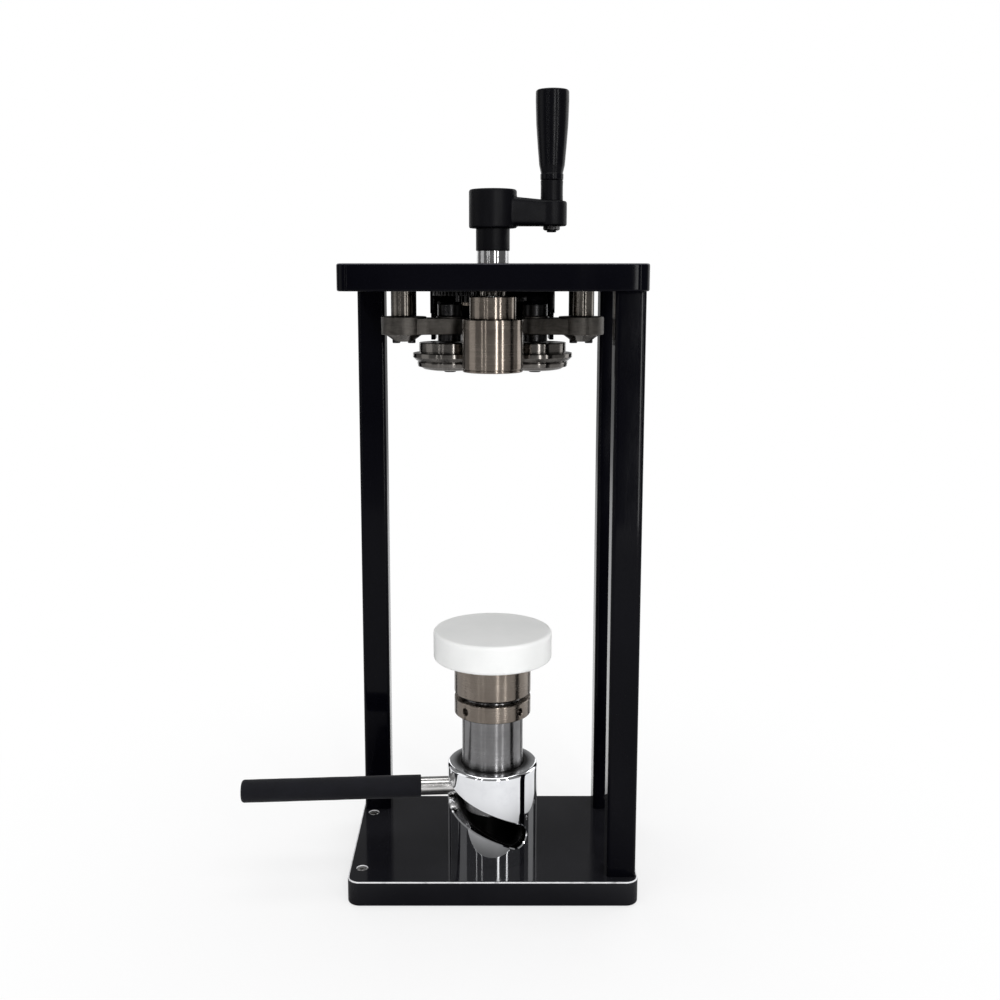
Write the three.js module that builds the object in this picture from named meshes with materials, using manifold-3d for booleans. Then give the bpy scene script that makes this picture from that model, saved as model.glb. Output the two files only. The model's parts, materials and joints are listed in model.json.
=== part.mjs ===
// Hand-cranked can seamer. A crank on the top plate turns a spindle and chuck, two seaming rollers hang on
// swinging arms behind the chuck, and a lever in a helical slot lifts the can platform towards it.
// Millimetres, +Z up, +X to the right, +Y to the back. The origin is on the underside of the base plate,
// below the spindle axis. Every height is measured from the bench.

import * as THREE from 'three';
import { mergeVertices } from 'three/addons/utils/BufferGeometryUtils.js';
import Module from 'manifold-3d';

// ---------------------------------------------------------------- driving dimensions

const GAP = 0.4;                        // running or fitting clearance on a radius
const FINE = 32;                        // sides of a large round piece
const MEDIUM = 20;                      // sides of a middling round piece
const COARSE = 10;                      // sides of a screw or pin

const PLATE = { width: 250, front: -62, back: 107, thick: 22, corner: 11, edge: 1.5 };
const POST = { side: 25, height: 500, edge: 3, inset: 2, front: -53, rear: 77 };
const BASE_TOP = PLATE.thick;
const PLATE_UNDER = BASE_TOP + POST.height;
const PLATE_TOP = PLATE_UNDER + PLATE.thick;

const CAP_SCREW_M8 = { shank: 4, head: 6.5, headTall: 8, length: 27, key: 3.5, seat: 9 };
const CAP_SCREW_M6 = { shank: 3, head: 5, headTall: 6, length: 18, key: 2.9, seat: 7 };
const CAP_SCREW_M5 = { shank: 2.5, head: 4.25, headTall: 5, length: 14, key: 2.3, seat: 5.5 };
const CAP_SCREW_M4 = { shank: 2, head: 3.5, headTall: 3.5, length: 9, key: 1.7, seat: 0 };
const BASE_SCREW_PLACES = {
  front_left: [-114, -37], rear_left: [-114, 70], front_right: [114, -14], rear_right: [114, 62],
};

const SPINDLE = { journal: 10, neck: 6, collar: 13.3, bottom: 466, collarTop: 555, top: 598 };
const BEARING = { bore: SPINDLE.journal + GAP, outer: 18, wide: 8 };
const CHUCK = {
  radius: 26, bottom: 453.6, top: 498.3, lipTop: 455.4, grooveTop: 456.6, recess: 19.5, recessTop: 456,
};
const CHUCK_SCREW = { shank: 2.9, head: 5, headTall: 6, length: 2.8, key: 2.9 };
const COLLAR = { radius: 20, top: 517 };
const SLEEVE = { radius: 14.15, top: 573.6 };
const CRANK = {
  radius: 49, hub: 20, hubTop: 605.3, armBottom: 575.3, armTopRoot: 599, armTopEnd: 595.8,
  barEnd: 38, rootHalf: 14, endHalf: 12, end: 12.7,
};
const GRIP = { bottom: 612.9, top: 685.3, neck: 9.4, bore: 4, pinTop: 672, nut: 7, nutTall: 3.5 };
/** The grip's outside as [radius, height above its foot], from the foot to the crown. */
const GRIP_SIDE = [
  [9.5, 0], [9.5, 5], [10.9, 17.1], [12, 28.1], [12.9, 41.1], [13.5, 55.1], [13.8, 67.1],
  [13, 71], [11.2, 72.4],
];

const GEAR = { module: 1.25, small: 16, large: 48, wide: 4, angle: 20, backlash: 0.25, addendum: 0.9 };
const GEAR_PIN = { idler: 4, idlerHead: 6.5, cam: 5, camHead: 8, headTall: 3, inPlate: 9 };
const CENTRE_DISTANCE = GEAR.module * (GEAR.small + GEAR.large) / 2;
const CAM_AXIS = [0, 68];
const IDLER_AXIS = [-Math.sqrt(CENTRE_DISTANCE ** 2 - (CAM_AXIS[1] / 2) ** 2), CAM_AXIS[1] / 2];
const UPPER_TRAIN = 517.5;              // underside of the spindle pinion and of the idler's large gear
const LOWER_TRAIN = 512;                // underside of the idler's small gear and of the cam gear
const CAM = {
  low: 11.5, high: 19, bottom: 503.5, top: 510, lowTo: 150, ramp: 20, steps: 48, hub: 9,
};

const PIVOT = { x: 78.4, y: 45, post: 11.2, axle: 6, axleBottom: 490, postBottom: 499.4 };
const ARM = { bottom: 483, top: 499, boss: 20, rollerBoss: 15, tipBoss: 7.5, tip: [14, 88] };
const PIVOT_CAP = { upper: 15.5, lower: 8, bottom: 477, seat: 479, screwReach: 6.8 };
const FOLLOWER = { radius: 5, stem: 3, bottom: 486, shoulder: 499.4, top: 510 };
const ROLLER = { x: 37.8, y: 50, bore: 4.4, bottom: 451.5, top: 476 };
/** The roller's outside as [radius, height above its foot]: domed foot, lower disc, flange, upper disc. */
const ROLLER_SIDE = [
  [18, 0], [22.5, 0.8], [25, 2.5], [29, 2.8], [29, 7.1], [26, 7.5], [26, 8.5],
  [30, 8.9], [33, 11.4], [33, 15.1], [26.5, 15.7], [27.5, 16.5], [27.5, 23.7], [26.7, 24.5],
];
const ROLLER_AXLE = { shank: 4, head: 5.3, bottom: 449.5, spacer: 11, spacerBottom: 476.6, top: 506 };
const ROLLER_NUT = { radius: 11, top: 510 };
const HOUSING = {
  half: 56, wall: 4, front: 64, back: 104, bottom: 501, rearBottom: 490, legFront: 78, legBottom: 476.6,
};

const TUBE = { radius: 40, bore: 27.4, height: 84, rim: 2.5, screwReach: 33.7 };
const LIFT = {
  radius: 27, bottom: 64, top: 168, shoulder: 17, shoulderTop: 174, spigot: 12.2, spigotTop: 188,
};
const LEVER = { height: 83, azimuth: 184, swing: 119, travel: 34, rod: 8, rodStart: 8, rodEnd: 214 };
const LEVER_GRIP = { radius: 10, start: 64, end: 223, boreEnd: 216 };
const SLOT = { width: 21, bow: 1, steps: 14, from: 20, to: 46 };
const LOCK_RING = { radius: 33.75, bottom: 152, top: 167, ease: 1, hole: 3.2, holes: 4 };
const CUP = {
  radius: 33.75, bottom: 171.3, top: 202, ease: 1, cavity: 26.4, cavityTop: 190, spigot: 20, spigotTall: 8,
};
const DISC = { radius: 52, bottom: 202, top: 227, edge: 1.5 };

// ---------------------------------------------------------------- finishes

function finish(color, roughness, metalness) {
  return new THREE.MeshStandardMaterial({ color, roughness, metalness });
}

const PAINT = finish(0x0b0c12, 0.12, 0.0);
const STEEL = finish(0x6d655e, 0.3, 1.0);
const DARK_STEEL = finish(0x3a3735, 0.38, 1.0);
const CHROME = finish(0xc9ccd2, 0.06, 1.0);
const BLACK_OXIDE = finish(0x16161a, 0.45, 0.8);
const BLACK_PLASTIC = finish(0x131316, 0.4, 0.0);
const RUBBER = finish(0x1c1d23, 0.8, 0.0);
const NYLON = finish(0xe9ebec, 0.5, 0.0);
const BRIGHT_STEEL = finish(0xb8b8ba, 0.25, 1.0);

// ---------------------------------------------------------------- solids, joins and cuts

const wasm = await Module();
wasm.setup();

/** Leaves only merged positions and drops triangles that have collapsed onto an edge. */
function welded(geometry) {
  const bare = geometry.clone();
  bare.deleteAttribute('normal');
  bare.deleteAttribute('uv');
  const merged = mergeVertices(bare, 1e-4);
  const kept = [];
  for (let i = 0; i < merged.index.count; i += 3) {
    const corners = [0, 1, 2].map((k) => merged.index.getX(i + k));
    if (new Set(corners).size === 3) kept.push(...corners);
  }
  merged.setIndex(kept);
  return merged;
}

function toManifold(geometry) {
  const mesh = welded(geometry);
  return new wasm.Manifold(new wasm.Mesh({
    numProp: 3,
    vertProperties: Float32Array.from(mesh.attributes.position.array),
    triVerts: Uint32Array.from(mesh.index.array),
  }));
}

function toGeometry(manifold) {
  const mesh = manifold.getMesh();
  const geometry = new THREE.BufferGeometry();
  geometry.setAttribute('position', new THREE.BufferAttribute(mesh.vertProperties, 3));
  geometry.setIndex(Array.from(mesh.triVerts));
  return geometry;
}

function cut(geometry, ...tools) {
  return toGeometry(tools.reduce((solid, tool) => solid.subtract(toManifold(tool)), toManifold(geometry)));
}

function join(geometry, ...others) {
  return toGeometry(others.reduce((solid, other) => solid.add(toManifold(other)), toManifold(geometry)));
}

/** Turns [radius, height] points about Z. They run outwards along the bottom and up the outside. */
function turned(points, sides = MEDIUM) {
  const profile = points.map(([radius, height]) => new THREE.Vector2(radius, height));
  return new THREE.LatheGeometry(profile, sides).rotateX(Math.PI / 2);
}

const cylinder = (radius, bottom, top, sides = MEDIUM) =>
  turned([[0, bottom], [radius, bottom], [radius, top], [0, top]], sides);

const tube = (outer, inner, bottom, top, sides = MEDIUM) =>
  turned([[inner, bottom], [outer, bottom], [outer, top], [inner, top], [inner, bottom]], sides);

/** A round bar along +X, for pieces that point outwards. */
const bar = (radius, start, end, sides = MEDIUM) => cylinder(radius, start, end, sides).rotateY(Math.PI / 2);

function block(x0, x1, y0, y1, z0, z1) {
  const box = new THREE.BoxGeometry(x1 - x0, y1 - y0, z1 - z0);
  return box.translate((x0 + x1) / 2, (y0 + y1) / 2, (z0 + z1) / 2);
}

/** A rectangle with round corners, centred on the origin. */
function roundedRectangle(width, depth, radius) {
  const shape = new THREE.Shape();
  const x = width / 2;
  const y = depth / 2;
  shape.absarc(x - radius, y - radius, radius, 0, Math.PI / 2);
  shape.absarc(radius - x, y - radius, radius, Math.PI / 2, Math.PI);
  shape.absarc(radius - x, radius - y, radius, Math.PI, Math.PI * 1.5);
  shape.absarc(x - radius, radius - y, radius, Math.PI * 1.5, Math.PI * 2);
  return shape;
}

function prism(shape, bottom, top, curveSegments = 6) {
  const settings = { depth: top - bottom, bevelEnabled: false, curveSegments };
  return new THREE.ExtrudeGeometry(shape, settings).translate(0, 0, bottom);
}

/** A plate with round corners and an eased edge above and below. */
function plate(bottom) {
  const { width, front, back, thick, corner, edge } = PLATE;
  const shape = roundedRectangle(width - 2 * edge, back - front - 2 * edge, corner - edge);
  const slab = new THREE.ExtrudeGeometry(shape, {
    depth: thick - 2 * edge, bevelThickness: edge, bevelSize: edge, bevelSegments: 1, curveSegments: 5,
  });
  return slab.translate(0, (front + back) / 2, bottom + edge);
}

// ---------------------------------------------------------------- the group

const machine = new THREE.Group();

/** Names a piece, gives it its finish and puts it in the assembly. */
function piece(name, geometry, material, place = [0, 0, 0], parent = machine) {
  const mesh = new THREE.Mesh(welded(geometry), material);
  mesh.name = name;
  mesh.position.set(...place);
  parent.add(mesh);
  return mesh;
}

/** A socket-head screw with its head above the origin and its shank below. */
function capScrew({ shank, head, headTall, length, key }) {
  const ease = 0.6;
  const keyFloor = headTall * 0.45;
  const body = turned([
    [0, -length], [shank, -length], [shank, 0], [head, 0], [head, headTall - ease], [head - ease, headTall],
    [0, headTall],
  ], COARSE);
  return cut(body, cylinder(key, keyFloor, headTall + 1, 6));
}

/** Clearance for a screw whose head seat is at the origin: a counterbore above and a shank hole below. */
function screwHole({ shank, head, seat, length }, through = length + 1) {
  const shaft = cylinder(shank + GAP, -through, 0.5, COARSE);
  return seat ? join(shaft, cylinder(head + GAP, 0, seat + 1, COARSE)) : shaft;
}

// ---------------------------------------------------------------- frame

const postX = PLATE.width / 2 - POST.inset - POST.side / 2;
const POST_PLACES = {
  rear_left: [-postX, POST.rear + POST.side / 2],
  rear_right: [postX, POST.rear + POST.side / 2],
  front_right: [postX, POST.front + POST.side / 2],
};

function buildFrame() {
  const topSeat = PLATE_TOP - CAP_SCREW_M8.seat;
  const flipped = (geometry) => geometry.rotateX(Math.PI);
  const basePockets = [];
  const topPockets = [];
  for (const [corner, [x, y]] of Object.entries(POST_PLACES)) {
    const section = roundedRectangle(POST.side, POST.side, POST.edge);
    const column = prism(section, BASE_TOP, PLATE_UNDER, 3).translate(x, y, 0);
    const upper = screwHole(CAP_SCREW_M8).translate(x, y, topSeat);
    const lower = flipped(screwHole(CAP_SCREW_M8)).translate(x, y, CAP_SCREW_M8.seat);
    piece(`post_${corner}`, cut(column, upper, lower), PAINT);
    piece(`post_top_screw_${corner}`, capScrew(CAP_SCREW_M8), BLACK_OXIDE, [x, y, topSeat]);
    const baseScrew = flipped(capScrew(CAP_SCREW_M8));
    piece(`post_base_screw_${corner}`, baseScrew, BLACK_OXIDE, [x, y, CAP_SCREW_M8.seat]);
    basePockets.push(lower);
    topPockets.push(upper);
  }
  for (const [corner, [x, y]] of Object.entries(BASE_SCREW_PLACES)) {
    const seat = BASE_TOP - CAP_SCREW_M5.seat;
    basePockets.push(screwHole(CAP_SCREW_M5, seat + 1).translate(x, y, seat));
    piece(`base_screw_${corner}`, capScrew(CAP_SCREW_M5), BRIGHT_STEEL, [x, y, seat]);
  }
  const tubeHoles = [];
  for (const [side, x] of [['left', -TUBE.screwReach], ['right', TUBE.screwReach]]) {
    const hole = flipped(screwHole(CAP_SCREW_M6)).translate(x, 0, CAP_SCREW_M6.seat);
    basePockets.push(hole);
    tubeHoles.push(hole);
    const tubeScrew = flipped(capScrew(CAP_SCREW_M6));
    piece(`guide_tube_screw_${side}`, tubeScrew, BLACK_OXIDE, [x, 0, CAP_SCREW_M6.seat]);
  }
  piece('base_plate', cut(plate(0), ...basePockets), PAINT);

  const spindleBore = cylinder(BEARING.outer + GAP, PLATE_UNDER - 1, PLATE_TOP + 1);
  const pinHole = (radius, [x, y]) =>
    cylinder(radius + GAP, PLATE_UNDER - 1, PLATE_UNDER + GEAR_PIN.inPlate + 1, COARSE).translate(x, y, 0);
  const pinHoles = [pinHole(GEAR_PIN.idler, IDLER_AXIS), pinHole(GEAR_PIN.cam, CAM_AXIS)];
  piece('top_plate', cut(plate(PLATE_UNDER), spindleBore, ...pinHoles, ...topPockets), PAINT);
  const { outer, bore, wide } = BEARING;
  piece('spindle_bearing_lower', tube(outer, bore, PLATE_UNDER, PLATE_UNDER + wide), STEEL);
  piece('spindle_bearing_upper', tube(outer, bore, PLATE_TOP - wide, PLATE_TOP), STEEL);
  piece('guide_tube', guideTube(tubeHoles), CHROME);
}

/** Height of the slot's centre line, where share runs from 0 at the raised end to 1 at the lowered end. */
const slotHeight = (share) => LEVER.height - LEVER.travel * share + SLOT.bow * Math.sin(Math.PI * share);

/** The helical slot as a solid: quads between four edges along the slot, with a round bar at each end. */
function slotSolid() {
  const slope = Math.atan(LEVER.travel / (TUBE.radius * THREE.MathUtils.degToRad(LEVER.swing)));
  const half = SLOT.width / 2 / Math.cos(slope);
  const corners = [[SLOT.from, -half], [SLOT.to, -half], [SLOT.to, half], [SLOT.from, half]];
  const positions = [];
  for (let step = 0; step <= SLOT.steps; step += 1) {
    const share = step / SLOT.steps;
    const azimuth = THREE.MathUtils.degToRad(LEVER.azimuth + LEVER.swing * share);
    for (const [radius, side] of corners) {
      positions.push(radius * Math.cos(azimuth), radius * Math.sin(azimuth), slotHeight(share) + side);
    }
  }
  const faces = [[0, 1, 2], [0, 2, 3]];
  for (let step = 0; step < SLOT.steps; step += 1) {
    for (let edge = 0; edge < 4; edge += 1) {
      const a = step * 4 + edge;
      const b = step * 4 + (edge + 1) % 4;
      faces.push([a, b + 4, b], [a, a + 4, b + 4]);
    }
  }
  const last = SLOT.steps * 4;
  faces.push([last, last + 2, last + 1], [last, last + 3, last + 2]);
  const middle = new THREE.BufferGeometry();
  middle.setAttribute('position', new THREE.Float32BufferAttribute(positions, 3));
  middle.setIndex(faces.flat());
  const ends = [0, 1].map((share) => {
    const azimuth = THREE.MathUtils.degToRad(LEVER.azimuth + LEVER.swing * share);
    return bar(SLOT.width / 2, SLOT.from, SLOT.to).rotateZ(azimuth).translate(0, 0, slotHeight(share));
  });
  return join(middle, ...ends);
}

function guideTube(screwHoles) {
  const top = BASE_TOP + TUBE.height;
  const wall = turned([
    [TUBE.bore, BASE_TOP], [TUBE.radius, BASE_TOP], [TUBE.radius, top - TUBE.rim],
    [TUBE.radius - TUBE.rim / 3, top - TUBE.rim / 3], [TUBE.radius - TUBE.rim, top], [TUBE.bore, top],
    [TUBE.bore, BASE_TOP],
  ], FINE);
  return cut(wall, slotSolid(), ...screwHoles);
}

// ---------------------------------------------------------------- gears and cam

/** Half the angle that a tooth fills at a radius, from the involute of its base circle. */
function toothHalfAngle(radius, teeth) {
  const pitch = GEAR.module * teeth / 2;
  const base = pitch * Math.cos(THREE.MathUtils.degToRad(GEAR.angle));
  const involute = (r) => {
    const roll = Math.acos(Math.min(1, base / r));
    return Math.tan(roll) - roll;
  };
  return Math.PI / 2 / teeth - GEAR.backlash / 2 / pitch + involute(pitch) - involute(radius);
}

/** A spur gear's outline, with a tooth centred on the given angle. */
function gearShape(teeth, toothAngle) {
  const pitch = GEAR.module * teeth / 2;
  const radii = [pitch - GEAR.module * 1.25, pitch + GEAR.module * GEAR.addendum];
  const shape = new THREE.Shape();
  for (let tooth = 0; tooth < teeth; tooth += 1) {
    const centre = toothAngle + tooth * 2 * Math.PI / teeth;
    const rising = radii.map((r) => [r, centre - toothHalfAngle(r, teeth)]);
    const falling = radii.map((r) => [r, centre + toothHalfAngle(r, teeth)]).reverse();
    for (const [r, angle] of [...rising, ...falling]) {
      const point = [r * Math.cos(angle), r * Math.sin(angle)];
      if (tooth === 0 && angle === rising[0][1]) shape.moveTo(...point);
      else shape.lineTo(...point);
    }
  }
  return shape;
}

/** The cam's outline: low where a follower may swing in, high where it is held out, with smooth ramps. */
function camShape() {
  const shape = new THREE.Shape();
  for (let step = 0; step < CAM.steps; step += 1) {
    const degrees = step * 360 / CAM.steps;
    const past = Math.max(0, Math.min(degrees - CAM.lowTo, 360 - degrees, CAM.ramp)) / CAM.ramp;
    const rise = past * past * (3 - 2 * past);
    const radius = CAM.low + (CAM.high - CAM.low) * rise;
    const angle = THREE.MathUtils.degToRad(degrees);
    const point = [radius * Math.cos(angle), radius * Math.sin(angle)];
    if (step === 0) shape.moveTo(...point);
    else shape.lineTo(...point);
  }
  return shape;
}

/** A pin that hangs from the top plate, with a head just under the gear that it carries. */
function gearPin(radius, head, gearBottom) {
  const headTop = gearBottom - GAP;
  const headBottom = headTop - GEAR_PIN.headTall;
  const top = PLATE_UNDER + GEAR_PIN.inPlate;
  return turned([
    [0, headBottom], [head, headBottom], [head, headTop], [radius, headTop], [radius, top], [0, top],
  ], COARSE);
}

function buildGearTrain() {
  const toIdler = Math.atan2(IDLER_AXIS[1], IDLER_AXIS[0]);
  const toCam = Math.atan2(CAM_AXIS[1] - IDLER_AXIS[1], CAM_AXIS[0] - IDLER_AXIS[0]);
  const halfLargeTooth = Math.PI / GEAR.large;
  const upperTop = UPPER_TRAIN + GEAR.wide;

  const pinion = prism(gearShape(GEAR.small, toIdler), UPPER_TRAIN, upperTop);
  const pinionBore = cylinder(SPINDLE.neck + GAP, UPPER_TRAIN - 1, upperTop + 1, COARSE);
  piece('drive_pinion', cut(pinion, pinionBore), DARK_STEEL);

  const idler = join(
    prism(gearShape(GEAR.large, toIdler + Math.PI + halfLargeTooth), UPPER_TRAIN, upperTop),
    prism(gearShape(GEAR.small, toCam), LOWER_TRAIN, UPPER_TRAIN),
  );
  const idlerBore = cylinder(GEAR_PIN.idler + GAP, LOWER_TRAIN - 1, upperTop + 1, COARSE);
  piece('idler_gear', cut(idler, idlerBore), BLACK_OXIDE, [...IDLER_AXIS, 0]);
  piece('idler_pin', gearPin(GEAR_PIN.idler, GEAR_PIN.idlerHead, LOWER_TRAIN), STEEL, [...IDLER_AXIS, 0]);

  const gearTop = LOWER_TRAIN + GEAR.wide;
  const camGear = join(
    prism(gearShape(GEAR.large, toCam + Math.PI + halfLargeTooth), LOWER_TRAIN, gearTop),
    prism(camShape(), CAM.bottom, CAM.top),
    cylinder(CAM.hub, CAM.bottom, gearTop + 0.5),
  );
  const camBore = cylinder(GEAR_PIN.cam + GAP, CAM.bottom - 1, gearTop + 2, COARSE);
  piece('cam_gear', cut(camGear, camBore), BLACK_OXIDE, [...CAM_AXIS, 0]);
  piece('cam_pin', gearPin(GEAR_PIN.cam, GEAR_PIN.camHead, CAM.bottom), STEEL, [...CAM_AXIS, 0]);
}

function buildHousing() {
  const { half, wall, front, back, bottom, rearBottom, legFront, legBottom } = HOUSING;
  const rearWall = block(-half, half, back - wall, back, rearBottom, PLATE_UNDER);
  const cheeks = [-half, half - wall].flatMap((x) => [
    block(x, x + wall, front, back, bottom, PLATE_UNDER),
    block(x, x + wall, legFront, back, legBottom, bottom + 1),
  ]);
  piece('drive_housing', join(rearWall, ...cheeks), PAINT);
}

// ---------------------------------------------------------------- spindle, chuck and crank

function buildSpindle() {
  const { journal, neck, collar, bottom, collarTop, top } = SPINDLE;
  piece('spindle_shaft', turned([
    [0, bottom], [neck, bottom], [neck, PLATE_UNDER], [journal, PLATE_UNDER], [journal, PLATE_TOP + GAP],
    [collar, PLATE_TOP + GAP], [collar, collarTop], [journal, collarTop], [journal, top], [0, top],
  ]), STEEL);
  piece('chuck_collar', tube(COLLAR.radius, neck + GAP, CHUCK.top, COLLAR.top), STEEL);
  const { radius, lipTop, grooveTop, recess, recessTop } = CHUCK;
  const body = turned([
    [0, recessTop], [recess, recessTop], [recess + 1, CHUCK.bottom], [radius - 1, CHUCK.bottom],
    [radius - 0.4, CHUCK.bottom + 0.8], [radius - 0.4, lipTop], [radius - 1, lipTop],
    [radius - 1, grooveTop], [radius, grooveTop], [radius, CHUCK.top - 1], [radius - 1, CHUCK.top],
    [0, CHUCK.top],
  ], FINE);
  const shaftBore = cylinder(neck + GAP, bottom - GAP, CHUCK.top + 1, COARSE);
  const screwSeat = recessTop + CHUCK_SCREW.headTall + 0.5;
  const screwBore = cylinder(CHUCK_SCREW.shank + GAP, CHUCK.bottom - 1, bottom + 1, COARSE);
  const headBore = cylinder(CHUCK_SCREW.head + GAP, CHUCK.bottom - 1, screwSeat, COARSE);
  piece('seaming_chuck', cut(body, shaftBore, screwBore, headBore), STEEL);
  piece('chuck_screw', capScrew(CHUCK_SCREW).rotateX(Math.PI), BLACK_OXIDE, [0, 0, screwSeat]);
  piece('crank_sleeve', tube(SLEEVE.radius, journal + GAP, collarTop, SLEEVE.top), BLACK_PLASTIC);
}

/** The crank arm's bar: a box whose end towards the grip is narrower and lower than its root. */
function crankBar() {
  const { barEnd, rootHalf, endHalf, armBottom, armTopRoot, armTopEnd } = CRANK;
  const taper = block(0, barEnd, -1, 1, armBottom, armTopRoot);
  const position = taper.attributes.position;
  for (let i = 0; i < position.count; i += 1) {
    const atEnd = position.getX(i) > barEnd / 2;
    position.setY(i, position.getY(i) * (atEnd ? endHalf : rootHalf));
    if (atEnd && position.getZ(i) > armTopEnd) position.setZ(i, armTopEnd);
  }
  return taper;
}

function buildCrank() {
  const { radius, hub, hubTop, barEnd, endHalf, end, armBottom, armTopEnd } = CRANK;
  const hubBody = turned([
    [0, SLEEVE.top], [hub - 1.2, SLEEVE.top], [hub, SLEEVE.top + 1.2], [hub, hubTop - 2], [hub - 2, hubTop],
    [0, hubTop],
  ], FINE);
  const endBoss = cylinder(end, armBottom, armTopEnd).translate(radius, 0, 0);
  const barToBoss = link([barEnd - 0.5, 0], endHalf, [radius, 0], end - 0.2, armBottom, armTopEnd);
  const shaftBore = cylinder(SPINDLE.journal + GAP, SLEEVE.top - 1, SPINDLE.top + 1);
  const axleBore = cylinder(GRIP.bore + GAP, armBottom - 1, armTopEnd + 4, COARSE).translate(radius, 0, 0);
  piece('crank_arm', cut(join(hubBody, crankBar(), barToBoss, endBoss), shaftBore, axleBore), BLACK_PLASTIC);

  const gripPlace = [radius, 0, 0];
  const neckTop = GRIP.bottom - GAP;
  const axleBottom = armBottom - GRIP.nutTall - 1.5;
  piece('grip_axle', turned([
    [0, axleBottom], [GRIP.bore, axleBottom], [GRIP.bore, armTopEnd], [GRIP.neck, armTopEnd],
    [GRIP.neck, neckTop], [GRIP.bore, neckTop], [GRIP.bore, GRIP.pinTop], [0, GRIP.pinTop],
  ], COARSE), BLACK_OXIDE, gripPlace);
  const nutBore = cylinder(GRIP.bore + GAP, axleBottom, armBottom + 1, COARSE);
  const nut = cylinder(GRIP.nut, armBottom - GRIP.nutTall, armBottom, 6);
  piece('grip_axle_nut', cut(nut, nutBore), BRIGHT_STEEL, gripPlace);
  piece('crank_grip', turned([
    [GRIP.bore + GAP, GRIP.bottom], ...GRIP_SIDE.map(([side, rise]) => [side, GRIP.bottom + rise]),
    [0, GRIP.top], [0, GRIP.pinTop + 1], [GRIP.bore + GAP, GRIP.pinTop + 1], [GRIP.bore + GAP, GRIP.bottom],
  ]), BLACK_PLASTIC, gripPlace);
}

// ---------------------------------------------------------------- seaming arms and rollers

/** A straight link between two round bosses: the quadrilateral that joins their diameters. */
function link(from, fromHalf, to, toHalf, bottom, top) {
  const along = new THREE.Vector2(to[0] - from[0], to[1] - from[1]).normalize();
  const across = new THREE.Vector2(-along.y, along.x);
  const corner = ([x, y], reach) => new THREE.Vector2(x, y).addScaledVector(across, reach);
  return prism(new THREE.Shape([
    corner(from, -fromHalf), corner(to, -toHalf), corner(to, toHalf), corner(from, fromHalf),
  ]), bottom, top);
}

function rollerGeometry() {
  const { bore, bottom, top } = ROLLER;
  const side = ROLLER_SIDE.map(([radius, rise]) => [radius, bottom + rise]);
  return turned([[bore, bottom], ...side, [bore, top], [bore, bottom]]);
}

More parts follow.
